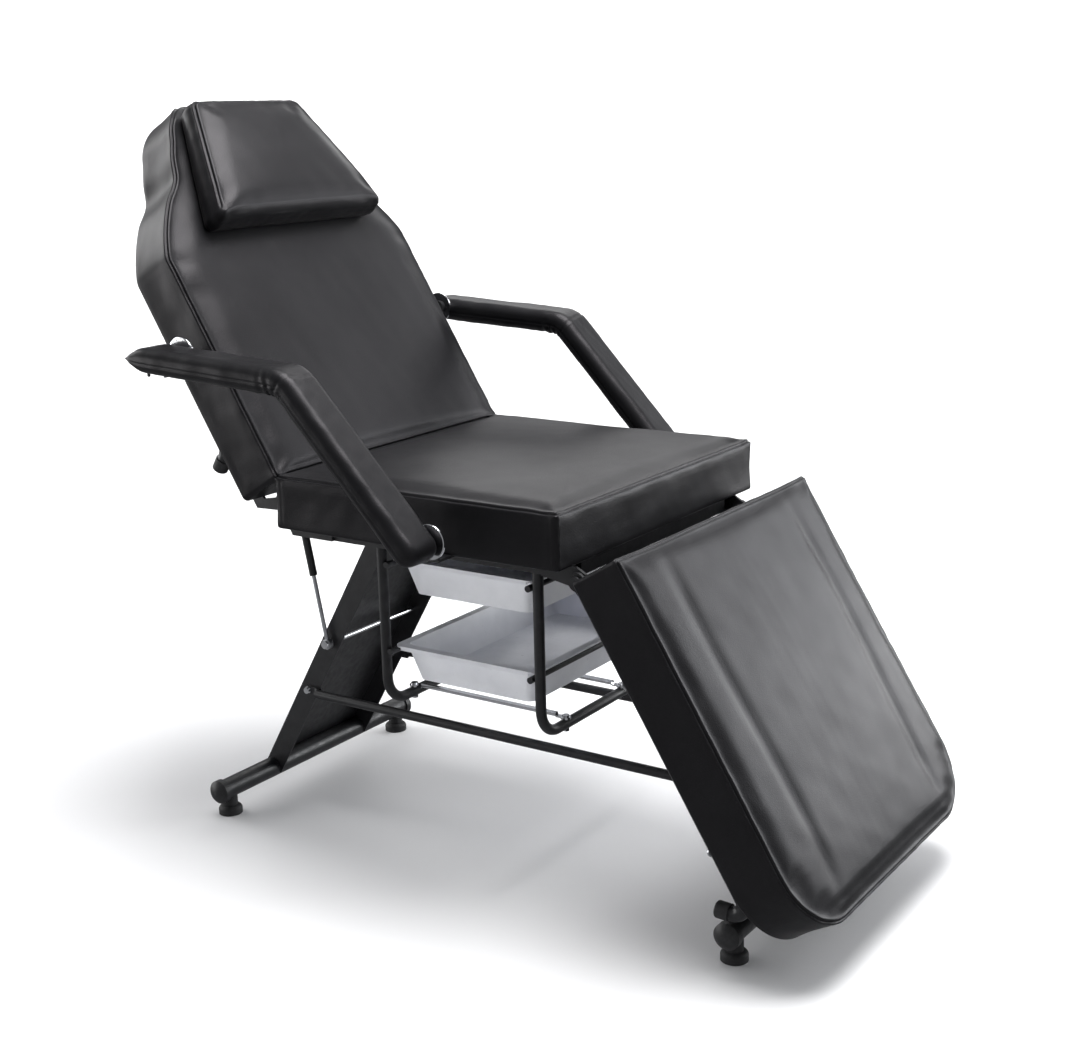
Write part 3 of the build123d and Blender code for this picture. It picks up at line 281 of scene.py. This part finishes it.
seat_length, seat_half, foot_length, back_length, pillow_length = 516, 290, 571, 667, 219
back_start = 23
recline, lowered = math.radians(58.5), math.radians(58.4)
back_up = np.array((-math.cos(recline), 0, math.sin(recline)))
back_out = np.array((math.sin(recline), 0, math.cos(recline)))
foot_down = np.array((math.cos(lowered), 0, -math.sin(lowered)))
foot_out = np.array((math.sin(lowered), 0, math.cos(lowered)))
back_hinge, foot_hinge = np.array((-262, 0, 572.6)), np.array((278, 0, 518))
seat_face = Face((-240, 0, 625), (1, 0, 0), (0, 0, 1))
back_face = Face(back_hinge + 52.4 * back_out + back_start * back_up, back_up, back_out)
foot_face = Face(foot_hinge + 107 * foot_out - 1 * foot_down, foot_down, foot_out)


def graded(length, radius, step):
    """Places from 0 to length: close together over the rounded edges, at most step apart between."""
    places = list(radius * (1 - np.cos(np.linspace(0, math.pi / 2, 11))))
    gap = radius * 0.16
    while places[-1] + gap < length / 2:
        places.append(places[-1] + gap)
        gap = min(step, gap * 1.25)
    inner = length - 2 * places[-1]
    count = max(1, round(inner / step))
    middle = places[-1] + inner * np.arange(1, count) / count
    half = np.array(places)
    return np.concatenate((half, middle, length - half[::-1]))


def waves(points, size, seed):
    """Smooth noise, mostly between -1 and 1, at points in millimetres."""
    source = np.random.default_rng(seed)
    total = np.zeros(len(points))
    for octave in (1, 2, 4):
        for _ in range(6):
            way = source.normal(size=points.shape[1])
            pitch = 2 * math.pi * octave / size / source.uniform(0.75, 1.35)
            total += np.sin(points @ (way / np.linalg.norm(way)) * pitch + source.uniform(0, 6.3)) / octave
    return total / 4.2


def outline_distance(points, loop):
    """How far each point lies from a closed outline."""
    best = np.full(len(points), 1e9)
    for start, run in zip(loop, np.roll(loop, -1, axis=0) - loop):
        share = np.clip(((points - start) @ run) / (run @ run), 0, 1)
        best = np.minimum(best, ((points - start - share[:, None] * run) ** 2).sum(axis=1))
    return np.sqrt(best)


def shrink(loop, distance):
    """A closed outline, given anticlockwise, drawn inwards."""
    run = np.roll(loop, -1, axis=0) - np.roll(loop, 1, axis=0)
    run /= np.linalg.norm(run, axis=1)[:, None]
    return loop - np.stack((run[:, 1], -run[:, 0]), axis=1) * np.reshape(distance, (-1, 1))


def solid(name, points, faces, finish):
    """A smooth-shaded closed piece from points in millimetres, with outward faces."""
    mesh = bpy.data.meshes.new(name)
    mesh.from_pydata((points / 1000).tolist(), [], faces)
    mesh.materials.append(finish)
    mesh.shade_smooth()
    made = bpy.data.objects.new(name, mesh)
    scene.collection.objects.link(made)
    shape = bmesh.new()
    shape.from_mesh(mesh)
    bmesh.ops.recalc_face_normals(shape, faces=shape.faces)
    shape.to_mesh(mesh)
    shape.free()
    return made


def positions(made):
    """The points of a piece, in millimetres."""
    flat = np.empty(len(made.data.vertices) * 3, np.float32)
    made.data.vertices.foreach_get("co", flat)
    return flat.reshape(-1, 3).astype(float) * 1000


def put(made, points):
    """Moves a piece's points to these places, in millimetres."""
    made.data.vertices.foreach_set("co", (points / 1000).astype(np.float32).ravel())
    made.data.update()


def push(made, height, direction=None):
    """Moves a piece's points along their normals, or along a direction, by millimetres."""
    if direction is None:
        flat = np.empty(len(made.data.vertices) * 3, np.float32)
        made.data.vertices.foreach_get("normal", flat)
        direction = flat.reshape(-1, 3)
    put(made, positions(made) + direction * np.reshape(height, (-1, 1)))


def groove(distance, depth, width):
    """A seam's cross-section: a narrow valley with a soft shoulder on each side."""
    near = np.exp(-((distance / width) ** 2))
    shoulder = np.exp(-((np.abs(distance) - 2.6 * width) ** 2) / (1.5 * width) ** 2)
    return -depth * near + 0.22 * depth * shoulder


def apply_modifiers(made):
    """Gives a piece the mesh that its modifiers make, and takes them off."""
    done = bpy.data.meshes.new_from_object(made.evaluated_get(bpy.context.evaluated_depsgraph_get()))
    made.modifiers.clear()
    made.data = done


def swell_top(made, face, cap, held_below=-6, voxel=9.0, pressure=4.0, frames=20):
    """Swells a pad's top panel by cloth simulation on a coarse copy, with all that lies lower held."""
    rough = made.copy()
    rough.data = made.data.copy()
    scene.collection.objects.link(rough)
    remesh = rough.modifiers.new("remesh", "REMESH")
    remesh.mode = "VOXEL"
    remesh.voxel_size = voxel / 1000
    apply_modifiers(rough)
    before = positions(rough)
    held = (before - face.origin) @ face.out < held_below
    pins = rough.vertex_groups.new(name="pins")
    pins.add([int(index) for index in np.flatnonzero(held)], 1.0, "REPLACE")
    cloth = rough.modifiers.new("cloth", "CLOTH")
    cloth.settings.quality = 5
    cloth.settings.use_pressure = True
    cloth.settings.uniform_pressure_force = pressure
    cloth.settings.effector_weights.gravity = 0
    cloth.settings.tension_stiffness = 18
    cloth.settings.compression_stiffness = 12
    cloth.settings.shear_stiffness = 6
    cloth.settings.bending_stiffness = 1.2
    cloth.settings.vertex_group_mass = "pins"
    cloth.point_cache.frame_start, cloth.point_cache.frame_end = 1, frames
    for frame_number in range(1, frames + 1):
        scene.frame_set(frame_number)
    apply_modifiers(rough)
    travel = positions(rough) - before
    far = np.linalg.norm(travel, axis=1)
    travel *= np.minimum(1, cap / np.maximum(far, 1e-6))[:, None]
    tree = KDTree(len(before))
    for index, point in enumerate(before):
        tree.insert(point, index)
    tree.balance()
    moves = []
    for point in positions(made):
        found = tree.find_n(point, 9)
        weights = np.array([math.exp(-((gap / voxel) ** 2)) + 1e-6 for _, _, gap in found])
        moves.append(weights @ travel[[index for _, index, _ in found]] / weights.sum())
    bpy.data.objects.remove(rough)
    scene.frame_set(1)
    moves = np.array(moves)
    size = np.linalg.norm(moves, axis=1)
    push(made, size, moves / np.maximum(size, 1e-9)[:, None])


def pad(
    name, face, length, half, corners, thickness, crown, edge=9.0, step=9.0, pocket=9.0, base=5.0,
    draw=3.0, waist=3.0, rise=lambda along: 0 * along, roll=None,
):
    """A boxed cushion: crowned panel, rounded seam, boxing all round, wrapped under its board.

    half(along) is half its width, corners the plan radius at its near and far ends. The sides
    draw in between the corners, and the boxing bulges by the waist. roll(along) is the top
    edge's radius where it isn't even, and rise(along) lifts the panel. pocket is how far the
    cover runs in under the board, and base the radius of its lower edge.
    Gives the piece and, for each point, its place and its distance from the top seam.
    """
    roll = roll or (lambda along: edge + 0 * along)
    near, far = corners
    widest = max(half(share * length) for share in np.linspace(0, 1, 80))
    ease = 1 - np.cos(np.linspace(0, math.pi / 2, 22))
    rows = np.concatenate((graded(length, edge, step), near * ease, length - far * ease))
    rows = np.unique(np.round(rows, 2))
    rows = rows[np.concatenate(([True], np.diff(rows) > 0.12))]
    rows[-1] = length
    columns = graded(2 * widest, edge, step) / widest - 1

    def width(along):
        inset = sum(
            radius - math.sqrt(radius**2 - max(0.0, radius - gap) ** 2)
            for gap, radius in ((along, near), (length - along, far))
        )
        return half(along) - inset - draw * math.sin(math.pi * along / length)

    # the crowned panel, a grid whose outer ring is the cushion's outline
    widths = np.array([width(along) for along in rows])
    plan = np.stack(np.broadcast_arrays(rows[:, None], columns[None, :] * widths[:, None]), axis=-1)
    n, m = plan.shape[:2]
    ids = np.arange(n * m).reshape(n, m)
    ring = np.concatenate((ids[:, 0], ids[-1, 1:], ids[-2::-1, -1], ids[0, -2:0:-1]))
    flat = plan.reshape(-1, 2)
    loop = flat[ring]
    area = (loop[:, 0] * np.roll(loop[:, 1], -1) - loop[:, 1] * np.roll(loop[:, 0], -1)).sum()
    order = 1 if area > 0 else -1
    away = outline_distance(flat, loop)
    radius = roll(flat[:, 0])
    inside = np.clip(away, 0, radius)
    drop = radius - np.sqrt(np.maximum(0, radius**2 - (radius - inside) ** 2))
    share_a, share_b = flat[:, 0] / length, flat[:, 1] / np.repeat(widths, m)
    swell = (4 * share_a * (1 - share_a)) ** 0.8 * (1 - share_b**2) ** 0.8
    top = crown * swell - drop + rise(flat[:, 0])
    angle = np.arccos(np.clip(1 - inside / radius, -1, 1))
    seam = radius * (angle - math.pi / 4) + np.maximum(0, away - radius)
    points, seams, plans = [face.place(flat[:, 0], flat[:, 1], top)], [seam], [flat]
    faces = [
        (ids[i, j], ids[i + 1, j], ids[i + 1, j + 1], ids[i, j + 1])
        for i in range(n - 1)
        for j in range(m - 1)
    ]

    # the boxing, rings that go down from the outline, round the lower edge and into the pocket
    start, bottom = top[ring], -thickness
    walls = [
        (waist * math.sin(math.pi * share), start + (bottom + base - start) * share)
        for share in np.linspace(0, 1, 15)[1:]
    ]
    for turned in np.linspace(0, math.pi / 2, 6)[1:]:
        walls.append((base * (1 - math.cos(turned)), bottom + base - base * math.sin(turned)))
    if pocket:
        walls += [(pocket - 0.3, bottom), (pocket, bottom + 0.4), (pocket, bottom + 12.3)]
    loops, last = [ring], len(flat)
    for inset, level in walls:
        drawn = shrink(loop[::order], inset)[::order]
        level = np.broadcast_to(level, (len(ring),))
        points.append(face.place(drawn[:, 0], drawn[:, 1], level))
        seams.append(level - start - radius[ring] * math.pi / 4)
        plans.append(loop)
        loops.append(np.arange(last, last + len(ring)))
        last += len(ring)
    after = np.roll(np.arange(len(ring)), -1)
    for upper, lower in zip(loops, loops[1:]):
        faces += list(zip(upper, lower, lower[after], upper[after]))

    # the base panel, a fan from the last ring to its middle
    middle = drawn.mean(axis=0)
    points.append(face.place(middle[0], middle[1], level[0])[None, :])
    seams.append(np.array([-99.0]))
    plans.append(middle[None, :])
    faces += [(far_id, near_id, last) for near_id, far_id in zip(loops[-1], loops[-1][after])]
    faces = [tuple(int(index) for index in corners_of) for corners_of in faces]
    made = solid(name, np.concatenate(points), faces, black_leather)
    return made, np.concatenate(plans), np.concatenate(seams)


def seams_and_creases(made, plans, seams, depth, seed, uprights=(), fade=None):
    """Sews a pad: the groove along its top seam, its puckers, upright seams and slack creases."""
    points = positions(made)
    keep = np.ones(len(points)) if fade is None else fade(plans)
    puckers = waves(points, 26, seed) * np.exp(-np.abs(seams) / 9) * 0.5
    slack = waves(points * np.array((0.6, 1.0, 1.0)), 120, seed + 1) * 0.7
    height = (groove(seams, depth, 1.5) + puckers) * keep + slack * np.clip(seams / 20, 0, 1)
    boxing = (seams < -6) & (seams > -74)
    height += np.where(boxing, waves(points, 70, seed + 2) * 0.6, 0)
    for place in uprights:
        gap = np.linalg.norm(plans - np.array(place), axis=1)
        height += np.where(boxing, groove(gap, depth * 0.8, 1.6), 0)
    above_board = seams > -88
    push(made, np.where(above_board, height, 0))


def finish_cushion(made, node, body):
    """Hides a cushion's solid and puts the cushion on the solid's body."""
    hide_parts(node)
    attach(made, body)


# Seat

seat, seat_plan, seat_seam = pad(
    "seat_upholstery", seat_face, seat_length, lambda along: seat_half, (7, 7), 84, 8,
    edge=7.0, draw=-1.5, waist=1.5,
)
swell_top(seat, seat_face, 5.0)
seat_corners = [(along, across) for along in (14, seat_length - 14) for across in (-288, 288)]
seams_and_creases(seat, seat_plan, seat_seam, 2.2, 21, uprights=seat_corners)
finish_cushion(seat, "seat_cushion", "base")


# Footrest, with a shallow channel along each side of its panel

foot, foot_plan, foot_seam = pad(
    "footrest_upholstery", foot_face, foot_length, lambda along: seat_half + 2.5, (6, 106), 84, 8,
    edge=6.0, draw=0.0, waist=1.0,
)
swell_top(foot, foot_face, 4.0)
seams_and_creases(foot, foot_plan, foot_seam, 2.2, 31)
foot_along, foot_across = foot_plan.T
for side in (-1, 1):
    gap = foot_across * side - 190 - 6 * np.sin(foot_along / 90)
    ends = np.clip(np.minimum(foot_along, foot_length - foot_along) / 90, 0, 1)
    push(foot, np.where(foot_seam > 0, -3.4 * np.exp(-((gap / 13) ** 2)) * ends, 0))
finish_cushion(foot, "footrest_cushion", "footrest")


# Backrest

outline_places = np.array((0, 380, 397, 427, 477, 517, 552, 587, 627, back_length), float)
outline_halves = np.array((290, 290, 284, 268, 233, 194, 179, 160, 141, 122), float)
head_roll = 50


def back_half(along):
    """Half the backrest's width, on a smooth curve that never overshoots its points."""
    slopes = np.diff(outline_halves) / np.diff(outline_places)
    before, after = slopes[:-1], slopes[1:]
    both = np.where(before + after == 0, 1, before + after)
    bends = np.zeros(len(outline_places))
    bends[1:-1] = np.where(before * after > 0, 2 * before * after / both, 0)
    bends[-1] = slopes[-1]
    step = min(int(np.searchsorted(outline_places, along, side="right")) - 1, len(slopes) - 1)
    span = outline_places[step + 1] - outline_places[step]
    t = (along - outline_places[step]) / span
    low, high = outline_halves[step], outline_halves[step + 1]
    curve = low * (1 + 2 * t) * (1 - t) ** 2 + high * t * t * (3 - 2 * t)
    return curve + span * (bends[step] * t * (1 - t) ** 2 + bends[step + 1] * t * t * (t - 1))


def head_fall(along):
    """The roll of the front over the head end."""
    short = np.clip(head_roll - (back_length - along), 0, head_roll)
    return np.sqrt(np.maximum(0, head_roll**2 - short**2)) - head_roll


back, back_plan, back_seam = pad(
    "backrest_upholstery", back_face, back_length, back_half, (9, 70), 88, 6,
    edge=7.0, draw=0.0, waist=1.5, rise=head_fall,
)
swell_top(back, back_face, 4.0)
seams_and_creases(back, back_plan, back_seam, 2.2, 41)
finish_cushion(back, "backrest_cushion", "backrest")


# Head pillow

pillow_start = 434
pillow_foot = back_face.origin - back_start * back_up + pillow_start * back_up + 7.3 * back_out
pillow_end = pillow_start + pillow_length
pillow_head = back_face.origin - back_start * back_up + pillow_end * back_up + 2.5 * back_out
pillow_way = (pillow_head - pillow_foot) / np.linalg.norm(pillow_head - pillow_foot)
pillow_out = np.cross(pillow_way, (0.0, -1.0, 0.0))
pillow_face = Face(pillow_foot + 54 * pillow_out, pillow_way, pillow_out)
pillow_near = 16


def pillow_roll(along):
    """The top edge's radius, larger at the lower end."""
    return 8 + 14 * np.clip(1 - along / 45, 0, 1) ** 1.5


def pillow_fade(plans):
    """No seam at the lower end, and the whole seam a little above it."""
    return np.clip((plans[:, 0] - pillow_near) / 12, 0, 1)


pillow, pillow_plan, pillow_seam = pad(
    "head_pillow_upholstery", pillow_face, pillow_length, lambda along: 201 - 78 * along / pillow_length,
    (pillow_near, 12), 53.6, 9, step=6.0, pocket=0, base=9.0,
    draw=-1.5, waist=-2.5, rise=lambda along: -12 * along / pillow_length, roll=pillow_roll,
)
swell_top(pillow, pillow_face, 4.0, -16)
seams_and_creases(pillow, pillow_plan, pillow_seam, 2.6, 51, fade=pillow_fade)
finish_cushion(pillow, "head_pillow", "pillow")


# Armrest pads, swept along the arm's bend

arm_width, arm_height, arm_round, arm_across = 70.0, 39.5, 16.0, 361.0
arm_rear = np.array((-431.0, 803.7))
arm_corner = np.array((-125.7, 787.7))
arm_pivot = np.array((83.0, 568.4))
arm_slant = (arm_pivot - arm_corner) / np.linalg.norm(arm_pivot - arm_corner)
arm_low = arm_pivot + 24 * arm_slant
arm_flat = (arm_rear - arm_corner) / np.linalg.norm(arm_rear - arm_corner)


def arm_path(step=6.0, radius=44.0):
    """Points, directions and travelled length along an armrest's centre line, rear to low end."""
    opening = math.acos(float(np.clip(arm_flat @ arm_slant, -1, 1)))
    reach = radius / math.tan(opening / 2)
    first, second = arm_corner + arm_flat * reach, arm_corner + arm_slant * reach
    centre_way = (arm_flat + arm_slant) / np.linalg.norm(arm_flat + arm_slant)
    centre = arm_corner + centre_way * radius / math.sin(opening / 2)
    ends = graded(np.linalg.norm(first - arm_rear), 8.0, step)
    points = [arm_rear - arm_flat * gone for gone in ends]
    start = math.atan2(*(first - centre)[::-1])
    sweep = math.atan2(*(second - centre)[::-1]) - start
    sweep = (sweep + math.pi) % (2 * math.pi) - math.pi
    for share in np.linspace(0, 1, 16)[1:]:
        angle = start + sweep * share
        points.append(centre + radius * np.array((math.cos(angle), math.sin(angle))))
    ends = graded(np.linalg.norm(arm_low - second), 8.0, step)[1:]
    points += [second + arm_slant * gone for gone in ends]
    points = np.array(points)
    ways = np.gradient(points, axis=0)
    ways /= np.linalg.norm(ways, axis=1)[:, None]
    gone = np.concatenate(((0,), np.cumsum(np.linalg.norm(np.diff(points, axis=0), axis=1))))
    return points, ways, gone


def rounded_section(count, width, height, radius):
    """Points evenly spread round a rounded rectangle, from the middle of its underside."""
    corner = radius * math.pi / 2
    runs = (width / 2 - radius, corner, height - 2 * radius, corner, width - 2 * radius, corner)
    runs += (height - 2 * radius, corner, width / 2 - radius)
    total = sum(runs)
    found = []
    for gone in np.arange(count) / count * total:
        x, y, heading = 0.0, -height / 2, 0.0
        for index, run in enumerate(runs):
            part = min(gone, run)
            if index % 2 == 0:
                x += part * math.cos(heading)
                y += part * math.sin(heading)
            else:
                turned = heading + part / radius
                x += radius * (math.sin(turned) - math.sin(heading))
                y -= radius * (math.cos(turned) - math.cos(heading))
                heading = turned
            gone -= part
            if gone <= 0:
                break
        found.append((x, y))
    return np.array(found), total


def armrest(name, side, count=96, tip=42.0, end=24.0):
    """One armrest pad: a padded bar with a flat sewn rear lip and a rounded low end.

    Gives the piece, each point's place along the bar and round it, and the length of both ways.
    """
    path, ways, gone = arm_path()
    section, around = rounded_section(count, arm_width, arm_height, arm_round)
    total = gone[-1]
    rings = []
    for point, way, travelled in zip(path, ways, gone):
        wide = tall = 1.0
        if travelled < tip:
            share = 1 - travelled / tip
            tall = max(0.13, (1 - share**2.1) ** 0.75)
            wide = 1 - 0.15 * share**2.2
        left = total - travelled
        if left < end:
            share = 1 - left / end
            tall = max(0.05, (1 - share**2.4) ** (1 / 2.4))
            wide = 1 - (1 - tall) * 0.62
        out = arm_across + section[:, 0] * wide
        high = section[:, 1] * tall
        rings.append(np.stack((point[0] - way[1] * high, side * out, point[1] + way[0] * high), axis=1))
    n = len(rings)
    faces = [
        (i * count + j, (i + 1) * count + j, (i + 1) * count + (j + 1) % count, i * count + (j + 1) % count)
        for i in range(n - 1)
        for j in range(count)
    ]
    faces.append(tuple(range(count)))
    faces.append(tuple(range((n - 1) * count, n * count)))
    made = solid(name, np.concatenate(rings), faces, black_leather)
    return made, np.repeat(gone, count), np.tile(np.arange(count) / count * around, n), around, total


bend_start = 290.0
for name, side in (("right", -1), ("left", 1)):
    made, travelled, round_place, around, total = armrest(f"armrest_{name}_upholstery", side)
    points = positions(made)
    middle = np.clip(np.minimum(travelled - 6, total - travelled - 6) / 20, 0, 1)
    side_seam = arm_width / 2 - arm_round + arm_round * math.pi / 2
    height = np.zeros(len(points))
    for place in (side_seam, around - side_seam):
        height += groove(round_place - place, 1.3, 1.2) * middle
    folds = np.exp(-(((travelled - bend_start) / 26) ** 2))
    inner = np.exp(-((np.minimum(round_place, around - round_place) / 40) ** 2))
    height += folds * inner * 1.7 * np.sin(travelled / 2.6 + waves(points, 40, 71) * 1.4)
    mitre = groove(travelled - bend_start - 12 - 0.12 * round_place, 1.2, 1.4)
    height += mitre * 0.8
    height += waves(points, 60, 72 + side) * 0.7 * middle
    height += waves(points, 14, 74) * 0.35 * np.exp(-travelled / 30)
    push(made, height)
    kept = positions(made)
    kept[:, 1] = side * np.clip(np.abs(kept[:, 1]), 325.8, 397.5)
    put(made, kept)
    finish_cushion(made, f"armrest_pad_{name}", f"{name}_armrest")


# Floor, backdrop and light


def area_light(name, place, target, size, power, colour=(1, 1, 1)):
    """A rectangular light at a place in metres, turned to its target, with its power in watts."""
    data = bpy.data.lights.new(name, "AREA")
    data.shape = "RECTANGLE"
    data.size, data.size_y = size
    data.energy = power
    data.color = colour
    made = bpy.data.objects.new(name, data)
    scene.collection.objects.link(made)
    made.location = place
    made.rotation_mode = "QUATERNION"
    made.rotation_quaternion = (Vector(target) - Vector(place)).to_track_quat("-Z", "Y")


floor_material, floor_tree, floor_shader = material("floor", (0.86, 0.86, 0.87), 0.85, specular=0.2)
floor_tone = noise(floor_tree, 0.6, 2.0)
floor_tree.links.new(
    ramp(floor_tree, floor_tone, ((0.3, (0.85, 0.85, 0.86)), (0.7, (0.88, 0.88, 0.885)))),
    floor_shader.inputs["Base Color"],
)
stage_near, stage_far, stage_top, stage_half, stage_bend = -14.0, 6.0, 9.0, 14, 3.0
profile = [(stage_near, 0.0), (stage_far, 0.0)]
for step_index in range(1, 17):
    angle = math.pi / 2 * step_index / 16
    profile.append((stage_far + stage_bend * math.sin(angle), stage_bend - stage_bend * math.cos(angle)))
profile.append((stage_far + stage_bend, stage_top))
backdrop_mesh = bpy.data.meshes.new("backdrop")
forward = Vector((ahead.x, ahead.y, 0)).normalized()
sideways = Vector((forward.y, -forward.x, 0))
backdrop_points = [
    forward * run + sideways * across + Vector((0, 0, rise))
    for run, rise in profile
    for across in (-stage_half, stage_half)
]
backdrop_faces = [(2 * k, 2 * k + 1, 2 * k + 3, 2 * k + 2) for k in range(len(profile) - 1)]
backdrop_mesh.from_pydata(backdrop_points, [], backdrop_faces)
backdrop_mesh.materials.append(floor_material)
backdrop_mesh.shade_smooth()
backdrop = bpy.data.objects.new("backdrop", backdrop_mesh)
scene.collection.objects.link(backdrop)
backdrop.visible_glossy = False

world = bpy.data.worlds.new("studio")
scene.world = world
world.use_nodes = True
world.node_tree.nodes["Background"].inputs["Color"].default_value = (0.96, 0.97, 1.0, 1)
world.node_tree.nodes["Background"].inputs["Strength"].default_value = 0.25

area_light("top_softbox", (0.35, 0.2, 3.0), (0.1, 0, 0.3), (1.8, 1.8), 150)
area_light("far_softbox", (-1.3, 2.5, 2.1), (0.05, 0, 0.7), (2.2, 1.0), 17)
area_light("back_wash_right", (2.6, 4.6, 4.2), (-1.2, 9.5, 2.6), (4.0, 2.4), 460)
area_light("back_wash_left", (-5.2, 1.4, 4.2), (-6.5, 7.5, 2.6), (4.0, 2.4), 460)
area_light("key_softbox", (1.6, 3.0, 1.9), (0.1, 0, 0.6), (2.6, 1.8), 30, (0.97, 0.98, 1.0))
area_light("low_softbox", (2.4, 2.9, 1.1), (0.4, 0, 0.45), (2.2, 1.4), 48, (0.94, 0.97, 1.0))
area_light("left_rim", (-3.4, -0.2, 1.5), (-0.3, 0, 0.8), (1.0, 2.4), 46)
area_light("front_fill", (1.5, 2.3, 0.45), (0.3, 0, 0.6), (1.4, 0.5), 10)
area_light("low_rim", (-3.0, -1.9, 0.6), (-0.5, 0, 0.8), (1.0, 1.0), 24)
